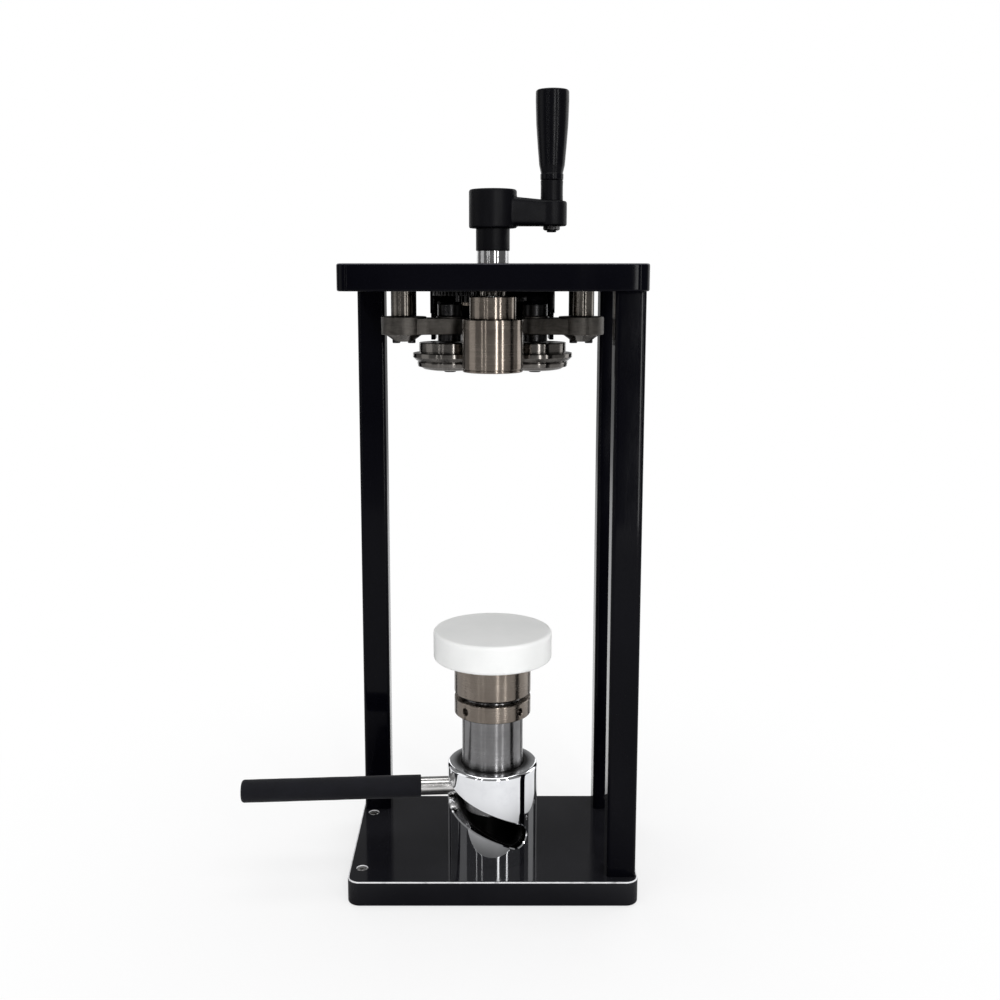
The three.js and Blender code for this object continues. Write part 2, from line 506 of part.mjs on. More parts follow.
/** One seaming station. The right one is the left one's mirror image in X. */
function buildStation(side, sign) {
  const pivot = [sign * PIVOT.x, PIVOT.y];
  const roller = [sign * ROLLER.x, ROLLER.y];
  const tip = [sign * ARM.tip[0], ARM.tip[1]];
  const { bottom, top, boss, rollerBoss, tipBoss } = ARM;
  const hole = (radius, [x, y], from = bottom - 1) =>
    cylinder(radius + GAP, from, top + 1, COARSE).translate(x, y, 0);
  const { screwReach } = PIVOT_CAP;
  const screwPlaces = [-screwReach, screwReach].map((reach) => [pivot[0] + reach, pivot[1]]);
  const screwEnd = PIVOT_CAP.seat + CAP_SCREW_M4.length;
  const capScrewHoles = screwPlaces.map(([x, y]) =>
    cylinder(CAP_SCREW_M4.shank + GAP, PIVOT_CAP.bottom - 1, screwEnd + 1, COARSE).translate(x, y, 0));
  const headPockets = screwPlaces.map(([x, y]) =>
    cylinder(CAP_SCREW_M4.head + GAP, PIVOT_CAP.bottom - 1, PIVOT_CAP.seat, COARSE).translate(x, y, 0));

  const arm = join(
    cylinder(boss, bottom, top).translate(...pivot, 0),
    link(pivot, boss - 4, roller, rollerBoss - 1, bottom, top),
    cylinder(rollerBoss, bottom, top).translate(...roller, 0),
    link(roller, rollerBoss - 4, tip, tipBoss - 1, bottom, top),
    cylinder(tipBoss, bottom, top, COARSE).translate(...tip, 0),
  );
  const armCuts = [
    hole(PIVOT.axle, pivot, PIVOT.axleBottom - GAP), hole(ROLLER_AXLE.shank, roller),
    hole(FOLLOWER.stem, tip, FOLLOWER.bottom - GAP),
  ];
  piece(`seaming_arm_${side}`, cut(arm, ...armCuts, ...capScrewHoles), DARK_STEEL);

  piece(`pivot_post_${side}`, turned([
    [0, PIVOT.axleBottom], [PIVOT.axle, PIVOT.axleBottom], [PIVOT.axle, PIVOT.postBottom],
    [PIVOT.post, PIVOT.postBottom], [PIVOT.post, PLATE_UNDER], [0, PLATE_UNDER],
  ]), STEEL, [...pivot, 0]);
  const cap = turned([
    [0, PIVOT_CAP.bottom], [PIVOT_CAP.lower, PIVOT_CAP.bottom], [PIVOT_CAP.upper, bottom], [0, bottom],
  ]).translate(...pivot, 0);
  piece(`pivot_cap_${side}`, cut(cap, ...capScrewHoles, ...headPockets), DARK_STEEL);
  ['outer', 'inner'].forEach((where, index) => {
    const place = screwPlaces[sign < 0 ? index : 1 - index];
    const screw = capScrew(CAP_SCREW_M4).rotateX(Math.PI);
    piece(`pivot_cap_screw_${side}_${where}`, screw, BLACK_OXIDE, [...place, PIVOT_CAP.seat]);
  });
  piece(`cam_follower_${side}`, turned([
    [0, FOLLOWER.bottom], [FOLLOWER.stem, FOLLOWER.bottom], [FOLLOWER.stem, FOLLOWER.shoulder],
    [FOLLOWER.radius, FOLLOWER.shoulder], [FOLLOWER.radius, FOLLOWER.top], [0, FOLLOWER.top],
  ], COARSE), STEEL, [...tip, 0]);

  const { shank, head, spacer, spacerBottom } = ROLLER_AXLE;
  piece(`roller_axle_${side}`, turned([
    [0, ROLLER_AXLE.bottom], [head, ROLLER_AXLE.bottom], [head, ROLLER.bottom - GAP],
    [shank, ROLLER.bottom - GAP],
    [shank, spacerBottom], [spacer, spacerBottom], [spacer, bottom], [shank, bottom],
    [shank, ROLLER_AXLE.top], [0, ROLLER_AXLE.top],
  ], COARSE), BLACK_OXIDE, [...roller, 0]);
  const nut = tube(ROLLER_NUT.radius, shank + GAP, top, ROLLER_NUT.top);
  piece(`roller_nut_${side}`, nut, BLACK_OXIDE, [...roller, 0]);
  piece(`seaming_roller_${side}`, rollerGeometry(), DARK_STEEL, [...roller, 0]);
}

// ---------------------------------------------------------------- lift

function buildLift() {
  const { radius, bottom, top, shoulder, shoulderTop, spigot, spigotTop } = LIFT;
  const leverTurn = THREE.MathUtils.degToRad(LEVER.azimuth);
  const shaft = turned([
    [0, bottom], [radius - 1, bottom], [radius, bottom + 1], [radius, top], [shoulder, top],
    [shoulder, shoulderTop], [spigot, shoulderTop], [spigot, spigotTop], [0, spigotTop],
  ], FINE);
  const rodHole = bar(LEVER.rod + GAP, LEVER.rodStart - GAP, radius + 3);
  rodHole.rotateZ(leverTurn).translate(0, 0, LEVER.height);
  piece('lift_shaft', cut(shaft, rodHole), STEEL);

  const lever = new THREE.Group();
  lever.position.z = LEVER.height;
  lever.rotation.z = leverTurn;
  machine.add(lever);
  piece('lever_rod', bar(LEVER.rod, LEVER.rodStart, LEVER.rodEnd), BRIGHT_STEEL, [0, 0, 0], lever);
  const { start, end, boreEnd } = LEVER_GRIP;
  piece('lever_grip', turned([
    [LEVER.rod + GAP, start], [LEVER_GRIP.radius, start], [LEVER_GRIP.radius, end - 4],
    [LEVER_GRIP.radius - 1.5, end - 1.2], [LEVER_GRIP.radius - 4.5, end], [0, end], [0, boreEnd],
    [LEVER.rod + GAP, boreEnd], [LEVER.rod + GAP, start],
  ]).rotateY(Math.PI / 2), RUBBER, [0, 0, 0], lever);

  const { bottom: ringBottom, top: ringTop, radius: ringRadius, ease } = LOCK_RING;
  const ring = turned([
    [radius + GAP, ringBottom], [ringRadius - ease, ringBottom], [ringRadius, ringBottom + ease],
    [ringRadius, ringTop - ease], [ringRadius - ease, ringTop], [radius + GAP, ringTop],
    [radius + GAP, ringBottom],
  ], FINE);
  const tommyHoles = Array.from({ length: LOCK_RING.holes }, (_, index) =>
    bar(LOCK_RING.hole, radius - 2, ringRadius + 2, COARSE)
      .rotateZ(Math.PI / 4 + index * Math.PI / 2).translate(0, 0, (ringBottom + ringTop) / 2));
  piece('lock_ring', cut(ring, ...tommyHoles), STEEL);

  const bearing = tube(CUP.cavity - GAP, spigot + GAP, shoulderTop, CUP.cavityTop - GAP);
  piece('turntable_bearing', bearing, BRIGHT_STEEL);
  piece('turntable_cup', turned([
    [CUP.cavity, CUP.bottom], [CUP.radius - CUP.ease, CUP.bottom], [CUP.radius, CUP.bottom + CUP.ease],
    [CUP.radius, CUP.top],
    [CUP.spigot, CUP.top], [CUP.spigot, CUP.top + CUP.spigotTall], [0, CUP.top + CUP.spigotTall],
    [0, CUP.cavityTop], [CUP.cavity, CUP.cavityTop], [CUP.cavity, CUP.bottom],
  ], FINE), STEEL);
  const recessTop = DISC.bottom + CUP.spigotTall + GAP;
  piece('platform_disc', turned([
    [0, recessTop], [CUP.spigot + GAP, recessTop], [CUP.spigot + GAP, DISC.bottom],
    [DISC.radius - DISC.edge, DISC.bottom], [DISC.radius, DISC.bottom + DISC.edge],
    [DISC.radius, DISC.top - DISC.edge], [DISC.radius - DISC.edge, DISC.top], [0, DISC.top],
  ], FINE), NYLON);
}

// ---------------------------------------------------------------- assembly

buildFrame();
buildHousing();
buildSpindle();
buildCrank();
buildGearTrain();
buildStation('left', -1);
buildStation('right', 1);
buildLift();

export default machine;
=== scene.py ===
"""Studio model of a hand-cranked can seamer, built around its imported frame.

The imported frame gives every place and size. Each turned, milled, moulded or geared piece is made again here
as a fine surface that replaces its plain solid, and each finish is worked out from nodes. Lengths inside this
script are in millimetres and become metres when a mesh is made.
"""
import json
import logging
import math
from collections.abc import Callable, Sequence
from dataclasses import dataclass, replace
from enum import Enum

import bmesh
import bpy
import numpy as np
from mathutils import Euler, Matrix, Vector

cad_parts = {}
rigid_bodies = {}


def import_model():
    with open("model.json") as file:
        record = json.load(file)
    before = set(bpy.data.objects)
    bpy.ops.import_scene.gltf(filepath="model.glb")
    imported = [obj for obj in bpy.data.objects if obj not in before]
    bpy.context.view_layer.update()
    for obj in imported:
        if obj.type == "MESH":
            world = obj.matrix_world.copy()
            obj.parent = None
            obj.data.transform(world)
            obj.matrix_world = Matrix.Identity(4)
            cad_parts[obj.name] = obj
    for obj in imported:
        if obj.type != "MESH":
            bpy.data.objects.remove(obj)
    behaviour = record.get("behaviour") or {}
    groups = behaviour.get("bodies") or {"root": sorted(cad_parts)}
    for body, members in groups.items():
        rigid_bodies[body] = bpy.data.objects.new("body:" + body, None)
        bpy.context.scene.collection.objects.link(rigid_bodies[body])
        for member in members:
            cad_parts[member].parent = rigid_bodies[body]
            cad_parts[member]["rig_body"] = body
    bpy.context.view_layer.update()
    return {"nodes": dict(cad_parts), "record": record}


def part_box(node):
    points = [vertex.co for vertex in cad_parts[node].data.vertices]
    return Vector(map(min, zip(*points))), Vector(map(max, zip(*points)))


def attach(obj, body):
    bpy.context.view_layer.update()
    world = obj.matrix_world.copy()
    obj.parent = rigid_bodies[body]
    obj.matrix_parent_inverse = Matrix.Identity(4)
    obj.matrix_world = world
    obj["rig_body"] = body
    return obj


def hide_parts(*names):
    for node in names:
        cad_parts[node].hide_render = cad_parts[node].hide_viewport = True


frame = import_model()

MM = 0.001  # metres in a millimetre
GAP = 0.4  # clearance round a shaft and at a shoulder
CREASE = 38.0  # edges that bend by more degrees than this stay sharp
ROUND_SIDES = 160
SMALL_SIDES = 72

Colour = tuple[float, float, float]
Corner = tuple[float, float, float]    # across, up, radius of its rounding
Axis = tuple[float, float]             # where an upright axis stands

logging.basicConfig(level=logging.INFO, format="%(message)s")
log = logging.getLogger("can_seamer")


# ------------------------------------------------------------------ places taken from the frame


@dataclass(frozen=True)
class NodeBox:
    """Where a node of the frame lies, in millimetres."""

    low: np.ndarray
    high: np.ndarray

    @classmethod
    def of(cls, node: str) -> "NodeBox":
        """Reads one node's box from the frame."""
        low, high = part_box(node)
        return cls(np.array(low) / MM, np.array(high) / MM)

    @property
    def centre(self) -> np.ndarray:
        """The box's middle."""
        return (self.low + self.high) / 2

    @property
    def axis(self) -> Axis:
        """Where an upright axis through the middle stands."""
        return float(self.centre[0]), float(self.centre[1])

    @property
    def size(self) -> np.ndarray:
        """Width, depth and height."""
        return self.high - self.low

    @property
    def radius(self) -> float:
        """Radius of an upright round piece."""
        return float(max(self.size[:2]) / 2)

    @property
    def bottom(self) -> float:
        """Height of the underside."""
        return float(self.low[2])

    @property
    def top(self) -> float:
        """Height of the top."""
        return float(self.high[2])


# ------------------------------------------------------------------ surfaces


class Surface:
    """Grids and flat caps, in millimetres, that together close into one mesh."""

    def __init__(self) -> None:
        """Starts with nothing."""
        self.points: list[np.ndarray] = []
        self.faces: list[list[int]] = []
        self.count = 0

    def grid(self, points: np.ndarray, around: bool = False) -> "Surface":
        """Adds a sheet of quads.

        Args:
            points: Rows by columns by 3.
            around: Whether the last column joins the first.

        Returns:
            The surface itself.
        """
        rows, columns, _ = points.shape
        index = np.arange(rows * columns).reshape(rows, columns) + self.count
        left = index if around else index[:, :-1]
        right = np.roll(index, -1, axis=1) if around else index[:, 1:]
        quads = np.stack([left[:-1], right[:-1], right[1:], left[1:]], axis=-1)
        self.faces += quads.reshape(-1, 4).tolist()
        self.points.append(points.reshape(-1, 3))
        self.count += rows * columns
        return self

    def cap(self, points: np.ndarray) -> "Surface":
        """Adds one flat face through a loop of points."""
        self.faces.append((np.arange(len(points)) + self.count).tolist())
        self.points.append(points)
        self.count += len(points)
        return self

    def placed(self, turn: Euler, shift: Sequence[float]) -> "Surface":
        """Turns the surface about the origin and then shifts it."""
        matrix = np.array(turn.to_matrix())
        self.points = [block @ matrix.T + np.array(shift) for block in self.points]
        return self

    def to_object(self, name: str, crease: float = CREASE) -> bpy.types.Object:
        """Welds the grids into a closed mesh, turns its faces outwards and smooths it between creases.

        Args:
            name: The new object's name.
            crease: Edges that bend by more than this many degrees stay sharp.

        Returns:
            The object, at the origin.
        """
        mesh = bpy.data.meshes.new(name)
        mesh.from_pydata((np.concatenate(self.points) * MM).tolist(), [], self.faces)
        made = bpy.data.objects.new(name, mesh)
        bpy.context.scene.collection.objects.link(made)
        weld(made, crease)
        return made


def weld(piece: bpy.types.Object, crease: float = CREASE) -> None:
    """Merges doubled points, turns faces outwards and marks creases.

    Args:
        piece: The object whose mesh is changed.
        crease: Edges that bend by more than this many degrees stay sharp.
    """
    shell = bmesh.new()
    shell.from_mesh(piece.data)
    bmesh.ops.remove_doubles(shell, verts=shell.verts, dist=2e-6)
    bmesh.ops.dissolve_degenerate(shell, dist=1e-7, edges=shell.edges)
    bmesh.ops.recalc_face_normals(shell, faces=shell.faces)
    shell.to_mesh(piece.data)
    shell.free()
    piece.data.polygons.foreach_set("use_smooth", np.ones(len(piece.data.polygons), bool))
    piece.data.set_sharp_from_angle(angle=math.radians(crease))
    piece.data.update()


def rounded(corners: Sequence[Corner], closed: bool = False, steps: int = 4) -> np.ndarray:
    """Rounds the corners of an outline.

    At each corner an arc touches both sides, its centre on the line that halves the corner, and a holding
    point lies just past each end of the arc so that the flats stay flat when shaded.

    Args:
        corners: The outline's corners.
        closed: Whether the last corner joins the first.
        steps: Sides in each arc.

    Returns:
        The outline's points, with the first repeated at the end if it is closed.
    """
    places = np.array([corner[:2] for corner in corners], float)
    made: list[np.ndarray] = []
    for i, corner in enumerate(corners):
        here, radius = places[i], corner[2]
        if radius <= 0 or (not closed and i in (0, len(corners) - 1)):
            made.append(here[None])
            continue
        back, ahead = places[i - 1] - here, places[(i + 1) % len(corners)] - here
        room = min(np.linalg.norm(back), np.linalg.norm(ahead))
        back, ahead = back / np.linalg.norm(back), ahead / np.linalg.norm(ahead)
        half = math.acos(float(np.clip(back @ ahead, -1, 1))) / 2
        reach = min(radius / math.tan(half), 0.48 * room)
        radius = reach * math.tan(half)
        centre = here + (back + ahead) / np.linalg.norm(back + ahead) * radius / math.sin(half)
        first, last = here + back * reach - centre, here + ahead * reach - centre
        sweep = math.pi - 2 * half
        share = np.linspace(0, 1, steps + 1)[:, None]
        arc = (np.sin((1 - share) * sweep) * first + np.sin(share * sweep) * last) / math.sin(sweep)
        hold = min(0.5 * reach, 0.49 * room - reach)
        made += [(here + back * (reach + hold))[None]] if hold > 0.01 else []
        made.append(centre + arc)
        made += [(here + ahead * (reach + hold))[None]] if hold > 0.01 else []
    if closed:
        made.append(made[0][:1])
    return np.concatenate(made)


def turned(profile: np.ndarray, axis: Axis = (0, 0), sides: int = ROUND_SIDES) -> Surface:
    """A turned piece: each profile point (radius, height) runs round the upright axis as x = radius cos a.

    Args:
        profile: Points as (radius, height).
        axis: Where the axis stands.
        sides: Steps round the axis.

    Returns:
        The closed surface.
    """
    angle = np.linspace(0, 2 * np.pi, sides, endpoint=False)
    around = np.stack([np.cos(angle), np.sin(angle)], axis=-1)
    flat = profile[:, None, :1] * around[None] + np.array(axis)
    height = np.broadcast_to(profile[:, None, 1:], (len(profile), sides, 1))
    return Surface().grid(np.concatenate([flat, height], axis=-1), around=True)


def drum(radius: float, bottom: float, top: float, ease: tuple[float, float] = (0, 0),
         axis: Axis = (0, 0), sides: int = ROUND_SIDES) -> Surface:
    """A plain upright cylinder.

    Args:
        radius: Its radius.
        bottom: Height of the underside.
        top: Height of the top.
        ease: Rounding of the lower and of the upper edge.
        axis: Where the axis stands.
        sides: Steps round the axis.

    Returns:
        The closed surface.
    """
    corners = [(0, bottom, 0), (radius, bottom, ease[0]), (radius, top, ease[1]), (0, top, 0)]
    return turned(rounded(corners), axis, sides)


def ringed(rings: Sequence[tuple[float | np.ndarray, float]], angle: np.ndarray) -> Surface:
    """A closed surface through level rings (radius, height), whose radius may vary with the angle."""
    rows = [
        np.stack(np.broadcast_arrays(radius * np.cos(angle), radius * np.sin(angle), height), axis=-1)
        for radius, height in rings
    ]
    return Surface().grid(np.stack(rows), around=True)


def milled(outline: np.ndarray, bottom: float, top: float, edge: float = 0.4, steps: int = 3) -> Surface:
    """A plate cut to an outline, with its edges eased by a quarter round above and below.

    The outline moves in along its normals by edge * (1 - sin a) while the height moves by edge * (1 - cos a).

    Args:
        outline: Points of the plan, anticlockwise, not repeated.
        bottom: Height of the underside.
        top: Height of the top.
        edge: Radius of the eased edges.
        steps: Sides in each eased edge.

    Returns:
        The closed surface.
    """
    along = np.roll(outline, -1, axis=0) - np.roll(outline, 1, axis=0)
    inward = np.stack([-along[:, 1], along[:, 0]], axis=-1)
    inward /= np.linalg.norm(inward, axis=1, keepdims=True)
    turn = np.linspace(0, np.pi / 2, steps + 1)
    inset = np.concatenate([[2.5 * edge], edge * (1 - np.sin(turn))])
    rise = np.concatenate([[0], edge * (1 - np.cos(turn))])
    inset, height = np.concatenate([inset, inset[::-1]]), np.concatenate([bottom + rise, (top - rise)[::-1]])
    flat = outline[None] + inset[:, None, None] * inward[None]
    tall = np.broadcast_to(height[:, None, None], (*flat.shape[:2], 1))
    sheet = np.concatenate([flat, tall], axis=-1)
    return Surface().grid(sheet, around=True).cap(sheet[0]).cap(sheet[-1])


def round_rectangle(low: np.ndarray, high: np.ndarray, corner: float, steps: int = 12) -> np.ndarray:
    """Plan of a rectangle with round corners, anticlockwise, without a repeated point."""
    corners = [(low[0], low[1]), (high[0], low[1]), (high[0], high[1]), (low[0], high[1])]
    return rounded([(x, y, corner) for x, y in corners], closed=True, steps=steps)[:-1]


def capsule(start: np.ndarray, start_radius: float, end: np.ndarray, end_radius: float) -> np.ndarray:
    """Plan of a link: two arcs joined by the straight lines that touch both circles."""
    along = end - start
    distance = float(np.linalg.norm(along))
    heading = math.atan2(along[1], along[0])
    lean = math.acos((start_radius - end_radius) / distance)
    far = np.linspace(heading - lean, heading + lean, 40)
    near = np.linspace(heading + lean, heading + 2 * math.pi - lean, 60)
    arcs = [end + end_radius * np.stack([np.cos(far), np.sin(far)], axis=-1)]
    arcs.append(start + start_radius * np.stack([np.cos(near), np.sin(near)], axis=-1))
    return np.concatenate(arcs)


class Carve(Enum):
    """How one solid works on another."""

    JOIN = "UNION"
    CUT = "DIFFERENCE"


def settle(piece: bpy.types.Object) -> None:
    """Applies a piece's modifiers to its mesh."""
    graph = bpy.context.evaluated_depsgraph_get()
    mesh = bpy.data.meshes.new_from_object(piece.evaluated_get(graph))
    piece.modifiers.clear()
    piece.data = mesh


def carve(piece: bpy.types.Object, tools: Sequence[Surface], how: Carve) -> bpy.types.Object:
    """Joins solids to a piece, or cuts them out of it, and removes them.

    Args:
        piece: The piece that stays.
        tools: The solids that work on it.
        how: Whether they are joined or cut.

    Returns:
        The piece.
    """
    bodies = [tool.to_object("tool") for tool in tools]
    for body in bodies:
        work = piece.modifiers.new("carve", "BOOLEAN")
        work.operation = how.value
        work.object = body
        work.solver = "EXACT"
    settle(piece)
    for body in bodies:
        bpy.data.objects.remove(body)
    weld(piece)
    return piece


def eased(piece: bpy.types.Object, width: float, segments: int = 2) -> bpy.types.Object:
    """Bevels a piece's sharp edges by a width in millimetres, and applies it."""
    bevel = piece.modifiers.new("ease", "BEVEL")
    bevel.width = width * MM
    bevel.segments = segments
    bevel.limit_method = "ANGLE"
    bevel.angle_limit = math.radians(35)
    settle(piece)
    weld(piece)
    return piece


# ------------------------------------------------------------------ shader maths


class Term:
    """A number inside a material. Sums on it add Math nodes."""

    def __init__(self, recipe: "Recipe", socket: bpy.types.NodeSocket) -> None:
        """Wraps a socket of a material's node tree."""
        self.recipe = recipe
        self.socket = socket

    def math(self, operation: str, *values: "Term | float") -> "Term":
        """One Math node on this number and any others."""
        sockets = dict(enumerate((self, *values)))
        made = self.recipe.node("ShaderNodeMath", {"operation": operation}, sockets)
        return Term(self.recipe, made.outputs[0])

    def __add__(self, other: "Term | float") -> "Term":
        """Sum."""
        return self.math("ADD", other)

    def __mul__(self, other: "Term | float") -> "Term":
        """Product."""
        return self.math("MULTIPLY", other)

    def __sub__(self, other: "Term | float") -> "Term":
        """Difference."""
        return self.math("SUBTRACT", other)

    def __rsub__(self, other: float) -> "Term":
        """Difference from a plain number."""
        return self * -1.0 + other

    def __pow__(self, other: "Term | float") -> "Term":
        """Power."""
        return self.math("POWER", other)

    def between(self, low: float, high: float) -> "Term":
        """Runs from 0 at low to 1 at high, and stays there outside them."""
        settings = {"interpolation_type": "SMOOTHSTEP"}
        sockets = {"Value": self, "From Min": low, "From Max": high}
        made = self.recipe.node("ShaderNodeMapRange", settings, sockets)
        return Term(self.recipe, made.outputs["Result"])


class Recipe:
    """A new material and the nodes that its finish is written with."""

    def __init__(self, name: str) -> None:
        """Makes an empty material with a Principled shader."""
        self.material = bpy.data.materials.new(name)
        self.material.use_nodes = True
        self.tree = self.material.node_tree
        self.shader = self.tree.nodes["Principled BSDF"]

    def node(self, kind: str, settings: dict[str, object],
             sockets: dict[str | int, object]) -> bpy.types.Node:
        """Adds a node.

        Args:
            kind: The node's type.
            settings: Its own properties, set first.
            sockets: A value, a Term or a socket for each input.

        Returns:
            The node.
        """
        made = self.tree.nodes.new(kind)
        for name, value in settings.items():
            setattr(made, name, value)
        for key, value in sockets.items():
            self.feed(made.inputs[key], value)
        return made

    def feed(self, socket: bpy.types.NodeSocket, value: object) -> None:
        """Links a Term or a socket to an input, or sets a plain value on it."""
        source = value.socket if isinstance(value, Term) else value
        if isinstance(source, bpy.types.NodeSocket):
            self.tree.links.new(source, socket)
        else:
            socket.default_value = source

    def place(self) -> bpy.types.NodeSocket:
        """The point on the piece, in metres."""
        return self.node("ShaderNodeTexCoord", {}, {}).outputs["Object"]

    def parts(self) -> tuple[Term, Term, Term]:
        """The point's three coordinates, in metres."""
        split = self.node("ShaderNodeSeparateXYZ", {}, {"Vector": self.place()})
        return tuple(Term(self, split.outputs[i]) for i in range(3))

    def radius(self, axis: Axis) -> Term:
        """Distance from an upright axis given in millimetres: the root of the sum of the two squares."""
        x, y, _ = self.parts()
        across, back = x - axis[0] * MM, y - axis[1] * MM
        return (across * across + back * back) ** 0.5

    def stretched(self, scale: Sequence[float]) -> bpy.types.NodeSocket:
        """The point with each coordinate multiplied by its own scale."""
        sockets = {0: self.place(), 1: tuple(scale)}
        return self.node("ShaderNodeVectorMath", {"operation": "MULTIPLY"}, sockets).outputs[0]

    def vector(self, x: Term | float, y: Term | float, z: Term | float) -> bpy.types.NodeSocket:
        """Three numbers as one vector."""
        return self.node("ShaderNodeCombineXYZ", {}, {0: x, 1: y, 2: z}).outputs[0]

    def noise(self, vector: bpy.types.NodeSocket, scale: float, detail: float = 3.0,
              rough: float = 0.55) -> Term:
        """Cloudy noise from about 0 to 1."""
        sockets = {"Vector": vector, "Scale": scale, "Detail": detail, "Roughness": rough}
        return Term(self, self.node("ShaderNodeTexNoise", {}, sockets).outputs["Fac"])

    def cells(self, vector: bpy.types.NodeSocket, scale: float) -> Term:
        """Distance to the nearest of many scattered points."""
        made = self.node("ShaderNodeTexVoronoi", {}, {"Vector": vector, "Scale": scale})
        return Term(self, made.outputs["Distance"])

    def blend(self, share: Term, low: Sequence[float], high: Sequence[float],
              under: bpy.types.NodeSocket | None = None) -> bpy.types.NodeSocket:
        """Mixes two colours by a share from 0 to 1. A linked colour may take the place of the low one."""
        sockets = {"Factor": share, 6: under or (*low, 1), 7: (*high, 1)}
        return self.node("ShaderNodeMix", {"data_type": "RGBA"}, sockets).outputs[2]

    def bump(self, height: Term, depth: float) -> bpy.types.NodeSocket:
        """A normal from a height of 0 to 1 that stands for a depth in millimetres."""
        sockets = {"Height": height, "Distance": depth * MM}
        return self.node("ShaderNodeBump", {}, sockets).outputs["Normal"]

    def finish(self, **sockets: object) -> bpy.types.Material:
        """Feeds the shader's inputs, named with underscores for spaces, and returns the material."""
        for name, value in sockets.items():
            self.feed(self.shader.inputs[name.replace("_", " ")], value)
        return self.material


# ------------------------------------------------------------------ finishes


@dataclass(frozen=True)
class GlossPaint:
    """Black gloss paint with a faint orange-peel skin, a little dust, and a painted highlight on its upper
    eased edge.
    """

    deep: Colour = (0.0012, 0.0012, 0.0026)
    worn: Colour = (0.0030, 0.0030, 0.0048)
    gloss: float = 0.08
    shine: float = 0.07
    edge_top: float = -1.0
    edge_wide: float = 1.5
    # Colour of the painted highlight on the upper eased edge.
    polish_and_edge_highlight: Colour = (0.42, 0.42, 0.44)

    def material(self, name: str) -> bpy.types.Material:
        """Builds the finish. The painted highlight is a pale band on the eased edge, just under the plate's
        top, that stands in for the light the edge catches.
        """
        recipe = Recipe(name)
        place = recipe.place()
        cloud = recipe.noise(place, 9.0, 4.0)
        dust = recipe.noise(place, 420.0, 6.0, 0.7).between(0.66, 0.80)
        peel = recipe.noise(place, 260.0, 2.0)
        smear = recipe.noise(recipe.stretched((30, 30, 6)), 1.0, 4.0, 0.6).between(0.45, 0.75)
        paint = recipe.blend(cloud.between(0.3, 0.7) * 0.7 + dust * 0.3, self.deep, self.worn)
        # Painted highlight: the eased upper edge is coloured pale to stand in for the light that it catches;
        # the noise only breaks the band up.
        if self.edge_top > 0:
            below = self.edge_top - recipe.parts()[2] * (1 / MM)
            faded = below.between(0.50 * self.edge_wide, 0.75 * self.edge_wide)
            painted_edge_highlight = below.between(0.03, 0.20) * (1.0 - faded)
            painted_edge_highlight = painted_edge_highlight * (recipe.noise(place, 130.0, 4.0).between(0.25, 0.5) * 0.5 + 0.5)
            paint = recipe.blend(painted_edge_highlight, (0.0, 0.0, 0.0), self.polish_and_edge_highlight, paint)
        return recipe.finish(
            Base_Color=paint,
            Roughness=smear * 0.07 + dust * 0.12 + self.gloss,
            Specular_IOR_Level=self.shine,
            Normal=recipe.bump(peel, 0.008),
        )


@dataclass(frozen=True)
class TurnedMetal:
    """Bare metal with fine tool marks that run round an upright axis."""

    axis: Axis
    dark: Colour
    light: Colour
    rough: float
    stretch: float = 0.96
    marks: float = 0.0008
    turn: float = 0.25

    def material(self, name: str) -> bpy.types.Material:
        """Builds the finish."""
        recipe = Recipe(name)
        radius = recipe.radius(self.axis)
        height = recipe.parts()[2]
        broad = recipe.noise(recipe.vector(radius, height, 0.0), 620.0, 3.0)
        fine = recipe.noise(recipe.vector(radius, height, 0.0), 2600.0, 2.0)
        stain = recipe.noise(recipe.place(), 30.0, 4.0, 0.6)
        tone = broad * 0.16 + fine * 0.16 + stain * 0.68
        return recipe.finish(
            Base_Color=recipe.blend(tone.between(0.30, 0.70), self.dark, self.light),
            Metallic=1.0,
            Roughness=fine * 0.10 + stain.between(0.35, 0.75) * 0.08 + (self.rough - 0.08),
            Anisotropic=self.stretch,
            Anisotropic_Rotation=self.turn,
            Normal=recipe.bump(fine * 0.6 + broad * 0.4, self.marks),
        )


@dataclass(frozen=True)
class MilledMetal:
    """Dark machined steel with a fine straight grain and a few handling marks."""

    dark: Colour
    light: Colour
    rough: float
    grain: tuple[float, float, float] = (60.0, 60.0, 1500.0)

    def material(self, name: str) -> bpy.types.Material:
        """Builds the finish."""
        recipe = Recipe(name)
        grain = recipe.noise(recipe.stretched(self.grain), 1.0, 3.0, 0.6)
        stain = recipe.noise(recipe.place(), 48.0, 5.0, 0.62)
        speck = recipe.noise(recipe.place(), 900.0, 2.0).between(0.60, 0.74)
        return recipe.finish(
            Base_Color=recipe.blend((grain * 0.5 + stain * 0.5).between(0.30, 0.68), self.dark, self.light),
            Metallic=1.0,
            Roughness=grain * 0.12 + stain.between(0.3, 0.7) * 0.12 + speck * 0.08 + (self.rough - 0.1),
            Normal=recipe.bump(grain * 0.7 + speck * 0.3, 0.008),
        )


